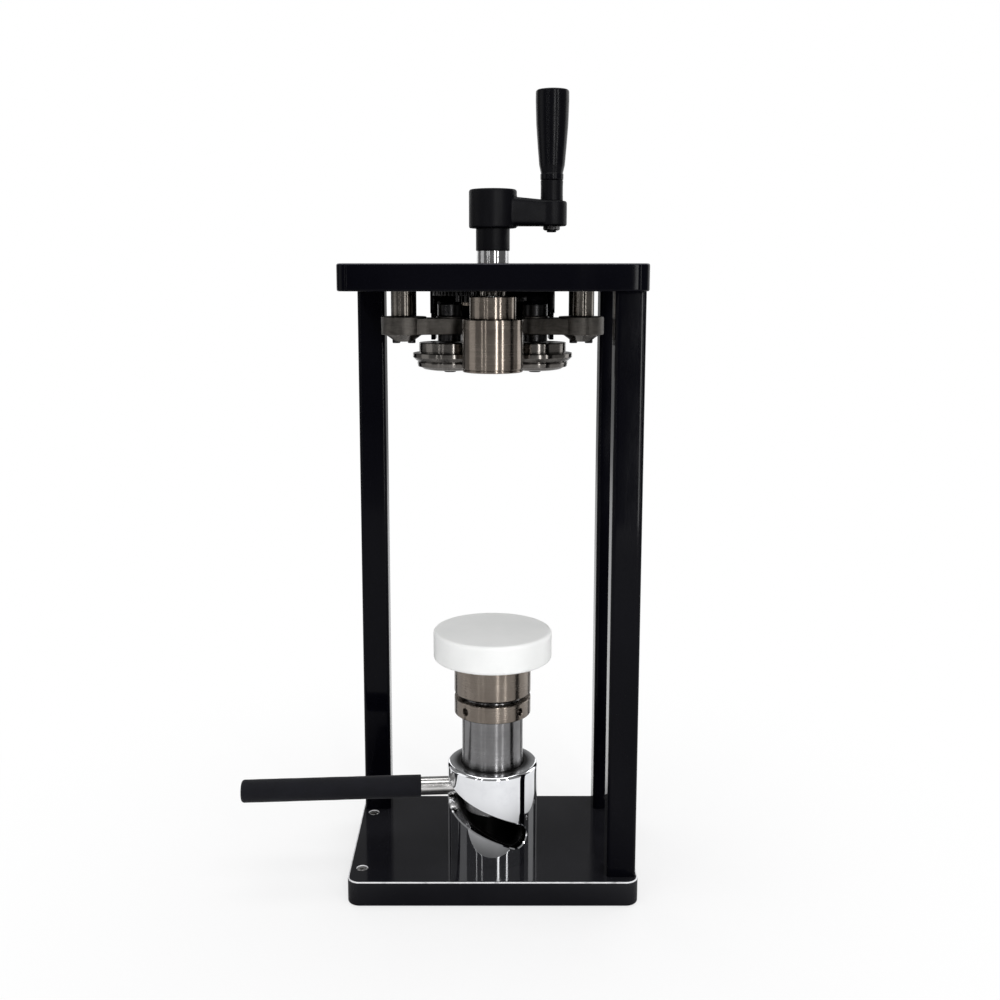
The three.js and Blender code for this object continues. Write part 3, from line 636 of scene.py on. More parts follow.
@dataclass(frozen=True)
class Chrome:
    """Polished chrome plate, faintly rippled and wiped, that gives out inside the bore."""

    bright: Colour = (0.86, 0.87, 0.89)
    dull: Colour = (0.70, 0.71, 0.74)
    bare: Colour = (0.035, 0.034, 0.034)
    plate_from: float = 30.0
    plate_to: float = 37.8

    def material(self, name: str) -> bpy.types.Material:
        """Builds the finish. The plating's share rises with the distance from the tube's axis."""
        recipe = Recipe(name)
        plated = recipe.radius((0.0, 0.0)).between(self.plate_from * MM, self.plate_to * MM)
        ripple = recipe.noise(recipe.stretched((34, 34, 9)), 1.0, 2.0)
        wipe = recipe.noise(recipe.stretched((900, 900, 60)), 1.0, 3.0, 0.6)
        smudge = recipe.noise(recipe.place(), 70.0, 5.0, 0.6).between(0.45, 0.78)
        plate = recipe.blend(1.0 - smudge * 0.6, self.dull, self.bright)
        return recipe.finish(
            Base_Color=recipe.blend(1.0 - plated, self.dull, self.bare, plate),
            Metallic=1.0,
            Roughness=smudge * 0.06 + wipe.between(0.6, 0.85) * 0.04 + (1.0 - plated) * 0.35 + 0.03,
            Normal=recipe.bump(ripple, 0.05),
        )


@dataclass(frozen=True)
class MouldedPlastic:
    """Black moulded plastic with a fine pebbled skin that handling has polished in patches."""

    deep: Colour = (0.0011, 0.0011, 0.0021)
    pale: Colour = (0.0030, 0.0030, 0.0044)
    rough: float = 0.42
    pebble: float = 0.016
    shine: float = 0.09

    def material(self, name: str) -> bpy.types.Material:
        """Builds the finish."""
        recipe = Recipe(name)
        place = recipe.place()
        skin = recipe.noise(place, 1300.0, 3.0, 0.6)
        # On the plastic this share is handling polish only, with no painted highlight.
        polish_and_edge_highlight = recipe.noise(place, 42.0, 4.0).between(0.42, 0.66)
        return recipe.finish(
            Base_Color=recipe.blend(skin.between(0.35, 0.65) * 0.6 + polish_and_edge_highlight * 0.4, self.deep, self.pale),
            Roughness=skin * 0.10 - polish_and_edge_highlight * 0.08 + self.rough,
            Specular_IOR_Level=self.shine,
            Normal=recipe.bump(skin, self.pebble),
        )


@dataclass(frozen=True)
class FoamRubber:
    """Charcoal foam rubber: tiny open cells and a soft bloom."""

    deep: Colour = (0.0018, 0.0019, 0.0034)
    bloom: Colour = (0.0062, 0.0064, 0.0098)

    def material(self, name: str) -> bpy.types.Material:
        """Builds the finish."""
        recipe = Recipe(name)
        place = recipe.place()
        cell = recipe.cells(place, 1500.0).between(0.10, 0.55)
        cloud = recipe.noise(place, 55.0, 5.0, 0.6)
        return recipe.finish(
            Base_Color=recipe.blend(cell * 0.5 + cloud.between(0.3, 0.7) * 0.5, self.deep, self.bloom),
            Roughness=cell * 0.08 + cloud * 0.10 + 0.66,
            Specular_IOR_Level=0.16,
            Sheen_Weight=0.07,
            Sheen_Roughness=0.5,
            Normal=recipe.bump(cell * 0.7 + cloud * 0.3, 0.07),
        )


@dataclass(frozen=True)
class TurnedNylon:
    """Milky turned nylon: faint tool rings on its faces and a little depth under the skin."""

    axis: Axis
    milk: Colour = (0.875, 0.885, 0.875)
    pale: Colour = (0.935, 0.940, 0.930)

    def material(self, name: str) -> bpy.types.Material:
        """Builds the finish."""
        recipe = Recipe(name)
        radius = recipe.radius(self.axis)
        rings = recipe.noise(recipe.vector(radius, recipe.parts()[2], 0.0), 1100.0, 2.0)
        cloud = recipe.noise(recipe.place(), 22.0, 4.0, 0.6)
        scuff = recipe.noise(recipe.stretched((400, 400, 90)), 1.0, 4.0, 0.65).between(0.55, 0.8)
        return recipe.finish(
            Base_Color=recipe.blend(cloud.between(0.3, 0.7) * 0.7 + rings * 0.3, self.milk, self.pale),
            Roughness=rings * 0.10 + scuff * 0.12 + 0.34,
            Subsurface_Weight=0.30,
            Subsurface_Radius=(0.9, 0.9, 0.9),
            Subsurface_Scale=0.004,
            Normal=recipe.bump(rings * 0.7 + scuff * 0.3, 0.012),
        )


class Slot(Enum):
    """The record's material slots."""

    PAINT = "black_gloss_paint"
    STEEL = "turned_steel"
    DARK = "dark_steel"
    OXIDE = "black_oxide_steel"
    BRIGHT = "bright_steel"
    CHROME = "chrome"
    PLASTIC = "black_plastic"
    RUBBER = "grip_rubber"
    NYLON = "white_nylon"


class Paintshop:
    """Makes each finish once for each axis that its tool marks run round."""

    def __init__(self) -> None:
        """Starts with no materials."""
        self.made: dict[tuple[Slot, Axis], bpy.types.Material] = {}

    def finish(self, slot: Slot, axis: Axis) -> object:
        """The finish of a slot, for an axis in millimetres."""
        return {
            Slot.PAINT: GlossPaint(),
            Slot.STEEL: TurnedMetal(axis, (0.145, 0.122, 0.103), (0.26, 0.226, 0.194), 0.25),
            Slot.DARK: TurnedMetal(axis, (0.10, 0.093, 0.086), (0.18, 0.168, 0.156), 0.25),
            Slot.OXIDE: MilledMetal((0.012, 0.012, 0.013), (0.035, 0.034, 0.034), 0.28),
            Slot.BRIGHT: TurnedMetal(axis, (0.50, 0.49, 0.48), (0.70, 0.69, 0.68), 0.20, 0.4),
            Slot.CHROME: Chrome(),
            Slot.PLASTIC: MouldedPlastic(),
            Slot.RUBBER: FoamRubber(),
            Slot.NYLON: TurnedNylon(axis),
        }[slot]

    def material(self, slot: Slot, axis: Axis = (0.0, 0.0)) -> bpy.types.Material:
        """The material of a slot, for an axis in millimetres."""
        spot = (round(axis[0], 2), round(axis[1], 2))
        turned_slots = (Slot.STEEL, Slot.DARK, Slot.BRIGHT, Slot.NYLON)
        key = (slot, spot if slot in turned_slots else (0.0, 0.0))
        if key not in self.made:
            self.made[key] = self.finish(slot, key[1]).material(f"{slot.value}_{len(self.made)}")
        return self.made[key]


SHOP = Paintshop()
SLOT_OF = {row["node"]: Slot(row["material_slot"]) for row in frame["record"]["subparts"]}


def publish(piece: bpy.types.Object, node: str, material: bpy.types.Material | None = None) -> None:
    """Puts a finished piece in the place of its node: it rides with it and takes its finish.

    Args:
        piece: The finished object.
        node: The frame's node that it stands for.
        material: A finish of its own, or None for the one of its slot.
    """
    slot = SLOT_OF[node]
    piece.data.materials.clear()
    piece.data.materials.append(material or SHOP.material(slot, NodeBox.of(node).axis))
    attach(piece, frame["nodes"][node]["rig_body"])
    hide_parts(node)
    log.info("%-34s %7d faces", piece.name, len(piece.data.polygons))


def lathe_piece(node: str, corners: Sequence[Corner], bored: bool = False, sides: int = ROUND_SIDES,
                material: bpy.types.Material | None = None) -> None:
    """Turns a node's piece from a profile of corners and publishes it.

    Args:
        node: The node that the piece stands for, on whose middle the axis stands.
        corners: The profile, outwards along the bottom and up the outside.
        bored: Whether the profile closes round a bore instead of ending on the axis.
        sides: Steps round the axis.
        material: A finish of its own, or None for the one of its slot.
    """
    surface = turned(rounded(corners, closed=bored), NodeBox.of(node).axis, sides)
    publish(surface.to_object(f"{node}_turned"), node, material)


def ring_corners(box: NodeBox, bore: float, ease: float) -> list[Corner]:
    """Profile of a plain ring that fills a box, with every edge eased."""
    return [
        (bore, box.bottom, ease), (box.radius, box.bottom, ease),
        (box.radius, box.top, ease), (bore, box.top, ease),
    ]


# ------------------------------------------------------------------ fasteners


@dataclass(frozen=True)
class CapScrew:
    """A socket-head screw with a knurled head."""

    node: str
    head_up: bool
    shank: float
    head_tall: float
    key: float
    ridges: int = 24
    knurl: float = 0.018
    socket_floor: float = 0.45

    def surface(self) -> Surface:
        """The head's rings, each with its own radius as a function of the angle.

        The knurl is a ripple on the side, and the socket's rings follow a hexagon whose radius is its half
        width divided by the cosine of the angle from the nearest flat.
        """
        box = NodeBox.of(self.node)
        length = float(box.size[2]) - self.head_tall
        sides = self.ridges * 6
        angle = np.linspace(0, 2 * np.pi, sides, endpoint=False)
        hexagon = 1 / np.cos((angle % (np.pi / 3)) - np.pi / 6)
        tall, head, key = self.head_tall, box.radius, self.key * math.cos(math.pi / 6)
        knurled = head * (1 - self.knurl * (0.5 + 0.5 * np.cos(angle * self.ridges)))
        floor = tall * self.socket_floor
        rings = [
            (0.0, -length), (self.shank - 0.5, -length), (self.shank, 0.5 - length), (self.shank, 0.0),
            (head - 0.2, 0.0), (knurled, 0.25), (knurled, tall * 0.5), (knurled, tall - 0.7),
            (head - 0.15, tall - 0.35), (head - 0.5, tall), (key * 1.25, tall),
            ((key + 0.12) * hexagon, tall), (key * hexagon, tall - 0.15), (key * hexagon, floor),
            (0.0, floor - 0.5),
        ]
        turn = Euler((0, 0, 0) if self.head_up else (math.pi, 0, 0))
        seat = box.top - tall if self.head_up else box.bottom + tall
        return ringed(rings, angle).placed(turn, (*box.axis, seat))

    def build(self) -> None:
        """Makes and publishes the screw."""
        publish(self.surface().to_object(f"{self.node}_socket_head", 32), self.node)


# ------------------------------------------------------------------ frame


@dataclass(frozen=True)
class Fixing:
    """One kind of cap screw in a plate, and the counterbore that its heads sit in."""

    stem: str
    plate: str
    head_up: bool
    shank: float
    head_tall: float
    key: float
    ridges: int
    pocket: float
    deep: float
    mouth_ease: float = 0.5
    past: float = 2.0

    def screw(self, node: str) -> CapScrew:
        """The screw of one node."""
        return CapScrew(node, self.head_up, self.shank, self.head_tall, self.key, self.ridges)

    def cutter(self, node: str) -> Surface:
        """The counterbore of one node, with an eased mouth that runs past the plate's face."""
        plate = NodeBox.of(self.plate)
        mouth, inward = (plate.top, -1) if self.head_up else (plate.bottom, 1)
        wide = self.pocket + self.mouth_ease
        corners = [
            (0, mouth + inward * self.deep, 0), (self.pocket, mouth + inward * self.deep, 0),
            (self.pocket, mouth + inward * self.mouth_ease, 0), (wide, mouth, 0),
            (wide, mouth - inward * self.past, 0), (0, mouth - inward * self.past, 0),
        ]
        ordered = corners if self.head_up else corners[::-1]
        return turned(rounded(ordered), NodeBox.of(node).axis, 64)


@dataclass(frozen=True)
class OpenFrame:
    """Base plate, top plate, three posts and their screws."""

    plate_corner: float = 11.0
    plate_edge: float = 1.6
    post_corner: float = 3.0
    post_edge: float = 0.3
    # Each plate's paint has a painted highlight on its upper eased edge: faint on the top plate, bright on
    # the base.
    top_paint: GlossPaint = GlossPaint(polish_and_edge_highlight=(0.05, 0.05, 0.06), shine=0.05)
    # Painted light: the base's black is mixed lighter than the top plate's, to stand in for the light that
    # falls on the base's top.
    lit_base_paint: GlossPaint = GlossPaint(
        deep=(0.0070, 0.0070, 0.0092), worn=(0.0135, 0.0135, 0.0160), polish_and_edge_highlight=(0.80, 0.80, 0.82), shine=0.21,
    )
    fixings: tuple[Fixing, ...] = (
        Fixing("post_top_screw", "top_plate", True, 4.0, 8.0, 3.5, 24, pocket=6.9, deep=9.0),
        Fixing("post_base_screw", "base_plate", False, 4.0, 8.0, 3.5, 24, pocket=6.9, deep=9.0),
        Fixing("base_screw", "base_plate", True, 2.5, 5.0, 2.3, 20, pocket=4.65, deep=5.5),
        Fixing("guide_tube_screw", "base_plate", False, 3.0, 6.0, 2.9, 24, pocket=5.4, deep=7.0),
    )

    def fixed(self) -> list[tuple[str, Fixing]]:
        """Each screw's node with its kind."""
        nodes, kinds = frame["nodes"], self.fixings
        return [(node, kind) for node in nodes for kind in kinds if node.startswith(kind.stem)]

    def plate(self, node: str, paint: GlossPaint, cutters: Sequence[Surface] = ()) -> None:
        """A plate with round corners, eased edges, its screws' counterbores and any other cutters."""
        box = NodeBox.of(node)
        outline = round_rectangle(box.low, box.high, self.plate_corner)
        slab = milled(outline, box.bottom, box.top, self.plate_edge, 5).to_object(f"{node}_slab")
        pockets = [kind.cutter(screw) for screw, kind in self.fixed() if kind.plate == node]
        # The painted edge highlight is placed just under this plate's top.
        coat = replace(paint, edge_top=box.top).material(f"black_gloss_paint_{node}")
        publish(carve(slab, [*pockets, *cutters], Carve.CUT), node, coat)

    def post(self, node: str) -> None:
        """A square post with round edges."""
        box = NodeBox.of(node)
        outline = round_rectangle(box.low, box.high, self.post_corner, 6)
        publish(milled(outline, box.bottom, box.top, self.post_edge).to_object(f"{node}_bar"), node)

    def build(self) -> None:
        """Makes the whole frame."""
        bearing, top = NodeBox.of("spindle_bearing_lower"), NodeBox.of("top_plate")
        bore = drum(bearing.radius + GAP, top.bottom - 2, top.top + 2, axis=bearing.axis, sides=96)
        self.plate("top_plate", self.top_paint, [bore])
        self.plate("base_plate", self.lit_base_paint)
        for corner in ("rear_left", "rear_right", "front_right"):
            self.post(f"post_{corner}")
        for node, kind in self.fixed():
            kind.screw(node).build()


# ------------------------------------------------------------------ lift


@dataclass(frozen=True)
class GuideTube:
    """The chromed tube whose helical slot the lever climbs."""

    bore: float = 27.4
    rim: float = 3.2
    mouth_ease: float = 1.0
    slot_start: float = 184.0
    slot_swing: float = 119.0
    slot_high: float = 83.0
    slot_drop: float = 34.0
    slot_bow: float = 1.0
    slot_half: float = 10.5
    ease: float = 0.9
    slot_columns: int = 190
    back_columns: int = 130

    def slot_edges(self, radius: float, half: float) -> tuple[np.ndarray, np.ndarray, np.ndarray]:
        """The slot's lower and upper edge on a cylinder, for columns that go all the way round.

        Each edge is the envelope of circles of the half width whose centres run down the slot's middle line.
        Behind the slot both edges fall together on a line that climbs back to the start.

        Args:
            radius: The cylinder on which the edges lie.
            half: Half of the slot's width there.

        Returns:
            The columns' angles, and the lower and upper heights.
        """
        share = np.linspace(0, 1, 1200)
        middle = np.radians(self.slot_start + self.slot_swing * share)
        height = self.slot_high - self.slot_drop * share + self.slot_bow * np.sin(np.pi * share)
        reach = math.asin(half / radius)
        ease = 0.5 - 0.5 * np.cos(np.pi * np.linspace(0, 1, self.slot_columns))
        front = middle[0] - reach + (middle[-1] - middle[0] + 2 * reach) * ease
        away = radius * np.sin(np.clip(front[:, None] - middle[None], -np.pi / 2, np.pi / 2))
        lift = np.sqrt(np.clip(half**2 - away**2, 0, None))
        touched = np.abs(away) <= half + 1e-9
        upper = np.where(touched, height + lift, -np.inf).max(axis=1)
        lower = np.where(touched, height - lift, np.inf).min(axis=1)
        upper[[0, -1]] = lower[[0, -1]] = height[[0, -1]]
        around = np.linspace(0, 1, self.back_columns + 2)[1:-1]
        back = front[-1] + (front[0] + 2 * np.pi - front[-1]) * around
        rejoin = height[-1] + (height[0] - height[-1]) * around
        return np.concatenate([front, back]), np.concatenate([lower, rejoin]), np.concatenate([upper, rejoin])

    @staticmethod
    def on_cylinder(radius: float | np.ndarray, angle: np.ndarray, height: float | np.ndarray) -> np.ndarray:
        """Points at a radius, an angle and a height."""
        return np.stack(np.broadcast_arrays(radius * np.cos(angle), radius * np.sin(angle), height), axis=-1)

    def surface(self) -> Surface:
        """Walls of the tube above and below the slot, its rim and foot, and the slot's eased sides."""
        box = NodeBox.of("guide_tube")
        outer, foot, top = box.radius, box.bottom, box.top
        outside = self.slot_edges(outer, self.slot_half + self.ease)
        shoulder = self.slot_edges(outer - self.ease, self.slot_half)
        inside = self.slot_edges(self.bore, self.slot_half)
        made = Surface()
        rows = np.linspace(0, 1, 14)[:, None]
        angle, lower, upper = outside
        crown = top - self.rim
        made.grid(self.on_cylinder(outer, angle, foot + (lower - foot) * rows), around=True)
        made.grid(self.on_cylinder(outer, angle, upper + (crown - upper) * rows), around=True)
        turn = np.linspace(0, np.pi / 2, 9)[:, None]
        rim = self.on_cylinder(outer - self.rim * (1 - np.cos(turn)), angle, crown + self.rim * np.sin(turn))
        made.grid(rim, around=True)
        flat, mouth = outer - self.rim, top - self.mouth_ease
        lip = [
            (flat, angle, top), (flat - 0.6, angle, top), (self.bore + self.mouth_ease + 0.4, inside[0], top),
            (self.bore + self.mouth_ease, inside[0], top), (self.bore, inside[0], mouth),
        ]
        made.grid(np.stack([self.on_cylinder(*ring) for ring in lip]), around=True)
        angle, lower, upper = inside
        made.grid(self.on_cylinder(self.bore, angle, upper + (mouth - upper) * rows), around=True)
        made.grid(self.on_cylinder(self.bore, angle, foot + (lower - foot) * rows), around=True)
        floor = [(self.bore, inside[0], foot), (outer, outside[0], foot)]
        made.grid(np.stack([self.on_cylinder(*ring) for ring in floor]), around=True)
        count = self.slot_columns
        for edge in (1, 2):
            side = [
                self.on_cylinder(radius, lines[0][:count], lines[edge][:count])
                for radius, lines in ((outer, outside), (outer - self.ease, shoulder), (self.bore, inside))
            ]
            made.grid(np.stack(side))
        return made

    def build(self) -> None:
        """Makes and publishes the tube."""
        publish(self.surface().to_object("guide_tube_slotted", 30), "guide_tube")


@dataclass(frozen=True)
class Lift:
    """Shaft, lever, lock ring, turntable and can platform."""

    lever_turn: float = 184.0
    rod_start: float = 8.0
    rod_end: float = 214.0
    grip_start: float = 64.0
    grip_end: float = 222.85
    ring_bore: float = 27.4
    tommy_hole: float = 3.2
    cup_bore: float = 26.4
    spigot: float = 20.0
    step: float = 17.0
    journal: float = 12.2
    seat_below_cup: float = 3.3
    seat_tall: float = 6.0
    shield: tuple[float, float] = (17.5, 21.5)

    def shaft(self) -> None:
        """The ground lift shaft, stepped at the top for the bearing."""
        box = NodeBox.of("lift_shaft")
        shoulder = NodeBox.of("turntable_cup").bottom - self.seat_below_cup
        seat = shoulder + self.seat_tall
        ground = TurnedMetal((0.0, 0.0), (0.15, 0.148, 0.150), (0.27, 0.268, 0.272), 0.25)
        lathe_piece("lift_shaft", [
            (0, box.bottom, 0), (box.radius, box.bottom, 1.0), (box.radius, shoulder, 0.8),
            (self.step, shoulder, 0.4), (self.step, seat, 0.4), (self.journal, seat, 0.3),
            (self.journal, box.top, 0.6), (0, box.top, 0),
        ], material=ground.material("ground_shaft"))

    def lever(self) -> None:
        """The lever's polished rod and its foam grip, both turned and then laid along the lever."""
        rod_box, grip_box = NodeBox.of("lever_rod"), NodeBox.of("lever_grip")
        height = float(rod_box.centre[2])
        lay = Euler((0, math.pi / 2, 0))
        spin = Euler((0, 0, math.radians(self.lever_turn)))
        radius = float(rod_box.size[2]) / 2
        rod = drum(radius, self.rod_start, self.rod_end, (0.5, 0.5), sides=96)
        rod.placed(lay, (0, 0, 0)).placed(spin, (0, 0, height))
        publish(rod.to_object("lever_rod_polished"), "lever_rod")
        grip = float(grip_box.size[2]) / 2
        start, end = self.grip_start, self.grip_end
        profile = rounded([
            (radius + 0.3, start + 3, 0.2), (radius + GAP, start, 0.3), (grip, start, 0.8), (grip, end, 4.2),
            (4.0, end, 1.0), (3.2, end - 0.7, 0.5), (0, end - 0.9, 0),
        ], steps=8)
        body = profile[2:]
        first, last = start + 1.5, end - 6.5
        along = first + (end - start - 8) * np.linspace(0, 1, 120)[1:-1, None]
        straight = np.concatenate([np.full_like(along, grip), along], axis=1)
        before, after = body[body[:, 1] <= first], body[body[:, 1] > last]
        profile = np.concatenate([before, straight, after])
        uneven = 0.5 + 0.5 * np.sin(profile[:, 1] * 0.21) * np.cos(profile[:, 1] * 0.083 + 1.0)
        profile[:, 0] *= 1 - 0.012 * uneven
        mouth = np.array([[0, start + 12], [radius + GAP, start + 12], [radius + GAP, start + 0.3]])
        sheet = turned(np.concatenate([mouth, profile]), sides=96)
        sheet.placed(lay, (0, 0, 0)).placed(spin, (0, 0, height))
        publish(sheet.to_object("lever_grip_foam", 60), "lever_grip")

    def lock_ring(self) -> None:
        """The lock ring with its four radial tommy-bar holes."""
        box = NodeBox.of("lock_ring")
        corners = ring_corners(box, self.ring_bore, 0.9)
        ring = turned(rounded(corners, closed=True), box.axis).to_object("lock_ring_turned")
        cutters = []
        narrow, wide = self.tommy_hole, self.tommy_hole + 0.6
        hole = rounded([
            (0, 20, 0), (narrow, 20, 0), (narrow, box.radius - 0.5, 0), (wide, box.radius + 0.1, 0),
            (wide, 40, 0), (0, 40, 0),
        ])
        for quarter in range(4):
            turn = Euler((0, math.pi / 2, math.radians(45 + 90 * quarter)))
            cutters.append(turned(hole, sides=40).placed(turn, (*box.axis, float(box.centre[2]))))
        publish(carve(ring, cutters, Carve.CUT), "lock_ring")

    def turntable(self) -> None:
        """The bearing, the cup that turns on it and the nylon platform."""
        bearing = NodeBox.of("turntable_bearing")
        groove = float(bearing.centre[2])
        inner, outer = self.journal + GAP, bearing.radius
        low, sunk = bearing.bottom, bearing.bottom + 1.2
        near, far = self.shield
        lathe_piece("turntable_bearing", [
            (inner, low, 0.5), (near, low, 0.3), (near, sunk, 0.3), (far, sunk, 0.3), (far, low, 0.3),
            (outer, low, 0.6), (outer, groove, 0), (outer, bearing.top, 0.6), (inner, bearing.top, 0.5),
        ], bored=True)
        cup, disc = NodeBox.of("turntable_cup"), NodeBox.of("platform_disc")
        face = disc.bottom
        lathe_piece("turntable_cup", [
            (self.cup_bore, cup.bottom, 0.5), (cup.radius, cup.bottom, 0.9), (cup.radius, face, 0.5),
            (self.spigot, face, 0.2), (self.spigot, cup.top, 0.5), (0, cup.top, 0), (0, bearing.top + GAP, 0),
            (self.cup_bore, bearing.top + GAP, 0.4),
        ], bored=True)
        lathe_piece("platform_disc", [
            (0, cup.top + GAP, 0), (self.spigot + GAP, cup.top + GAP, 0.3), (self.spigot + GAP, face, 0.4),
            (disc.radius, face, 2.2), (disc.radius, disc.top, 2.8), (0, disc.top, 0),
        ], sides=224)

    def build(self) -> None:
        """Makes the whole lift."""
        GuideTube().build()
        self.shaft()
        self.lever()
        self.lock_ring()
        self.turntable()


# ------------------------------------------------------------------ gears


@dataclass(frozen=True)
class Gear:
    """A spur gear's outline with involute flanks."""

    teeth: int
    tooth_angle: float
    module: float = 1.25
    pressure: float = math.radians(20)
    backlash: float = 0.25
    addendum: float = 0.9

    @property
    def pitch(self) -> float:
        """Pitch radius."""
        return self.module * self.teeth / 2

    def half_angle(self, radius: np.ndarray) -> np.ndarray:
        """Half a tooth's angle at a radius: its share of the pitch circle less the involute's turn."""
        def involute(at: np.ndarray) -> np.ndarray:
            """Tangent of the roll angle less the angle itself."""
            roll = np.arccos(np.clip(self.pitch * math.cos(self.pressure) / at, 0, 1))
            return np.tan(roll) - roll

        share = math.pi / 2 / self.teeth - self.backlash / 2 / self.pitch
        return share + involute(np.array(self.pitch)) - involute(radius)

    def outline(self) -> np.ndarray:
        """Every tooth's root, flanks and tip, anticlockwise."""
        root = self.pitch - 1.25 * self.module
        tip = self.pitch + self.addendum * self.module
        radii = np.array([root, *np.linspace(root + 0.15 * self.module, tip, 5)])
        half = self.half_angle(radii)
        half[0] += 0.10 * self.module / root
        radius = np.concatenate([radii, radii[::-1]])
        offset = np.concatenate([-half, half[::-1]])
        centre = self.tooth_angle + np.arange(self.teeth)[:, None] * 2 * np.pi / self.teeth
        angle = (centre + offset[None]).ravel()
        radius = np.tile(radius, self.teeth)
        return np.stack([radius * np.cos(angle), radius * np.sin(angle)], axis=-1)


@dataclass(frozen=True)
class GearTrain:
    """Spindle pinion, compound idler and cam gear, with their pins."""

    small: int = 16
    large: int = 48
    wide: float = 4.0
    cam_low: float = 11.5
    cam_high: float = 19.0
    cam_dwell: float = 150.0
    cam_ramp: float = 20.0
    cam_tall: float = 6.5
    hub: float = 9.0
    edge: float = 0.25
    wheels: tuple[str, ...] = ("drive_pinion", "idler_gear", "cam_gear")
    bores: tuple[float, ...] = (6.3, 4.3, 5.3)
    pins: tuple[tuple[str, float, float], ...] = (("idler_pin", 4.0, 6.5), ("cam_pin", 5.0, 8.0))

    def cam_outline(self) -> np.ndarray:
        """The cam's radius over the angle: low on its dwell, high elsewhere, with smooth steps between."""
        degrees = np.arange(0, 360, 1.5)
        past = np.clip(np.minimum(degrees - self.cam_dwell, 360 - degrees) / self.cam_ramp, 0, 1)
        radius = self.cam_low + (self.cam_high - self.cam_low) * past**2 * (3 - 2 * past)
        angle = np.radians(degrees)
        return np.stack([radius * np.cos(angle), radius * np.sin(angle)], axis=-1)

    @staticmethod
    def bored(node: str, layers: Sequence[Surface], bore: float) -> None:
        """Joins stacked layers, bores them through and publishes the gear."""
        box = NodeBox.of(node)
        shift = (*box.axis, 0)
        first, *rest = [layer.placed(Euler((0, 0, 0)), shift) for layer in layers]
        piece = first.to_object(f"{node}_cut", 30)
        if rest:
            carve(piece, rest, Carve.JOIN)
        hole = drum(bore, box.bottom - 1, box.top + 1, axis=box.axis, sides=SMALL_SIDES)
        publish(carve(piece, [hole], Carve.CUT), node)

    def wheel(self, teeth: int, tooth_angle: float, low: float, high: float) -> Surface:
        """A toothed wheel about the origin, between two heights."""
        return milled(Gear(teeth, tooth_angle).outline(), low, high, self.edge)

    def build(self) -> None:
        """Makes the three gears in mesh, and their pins."""
        pinion, idler, cam = (NodeBox.of(node) for node in self.wheels)
        to_idler = math.atan2(idler.axis[1], idler.axis[0])
        to_cam = math.atan2(cam.axis[1] - idler.axis[1], cam.axis[0] - idler.axis[0])
        half_tooth = math.pi / self.large
        upper, rim_top = idler.top - self.wide, cam.top - 0.5
        layers = (
            [self.wheel(self.small, to_idler, pinion.bottom, pinion.top)],
            [
                self.wheel(self.large, to_idler + math.pi + half_tooth, upper, idler.top),
                self.wheel(self.small, to_cam, idler.bottom, upper + 0.5),
            ],
            [
                self.wheel(self.large, to_cam + math.pi + half_tooth, rim_top - self.wide, rim_top),
                drum(self.hub, cam.bottom, cam.top, (0.3, 0.5), sides=SMALL_SIDES),
                milled(self.cam_outline(), cam.bottom + 0.05, cam.bottom + self.cam_tall, self.edge),
            ],
        )
        for node, stack, bore in zip(self.wheels, layers, self.bores, strict=True):
            self.bored(node, stack, bore)
        for node, shank, head in self.pins:
            box = NodeBox.of(node)
            under = box.bottom + 3
            lathe_piece(node, [
                (0, box.bottom, 0), (head, box.bottom, 0.6), (head, under, 0.3), (shank, under, 0.2),
                (shank, box.top, 0.5), (0, box.top, 0),
            ], sides=SMALL_SIDES)


# ------------------------------------------------------------------ spindle, chuck and crank


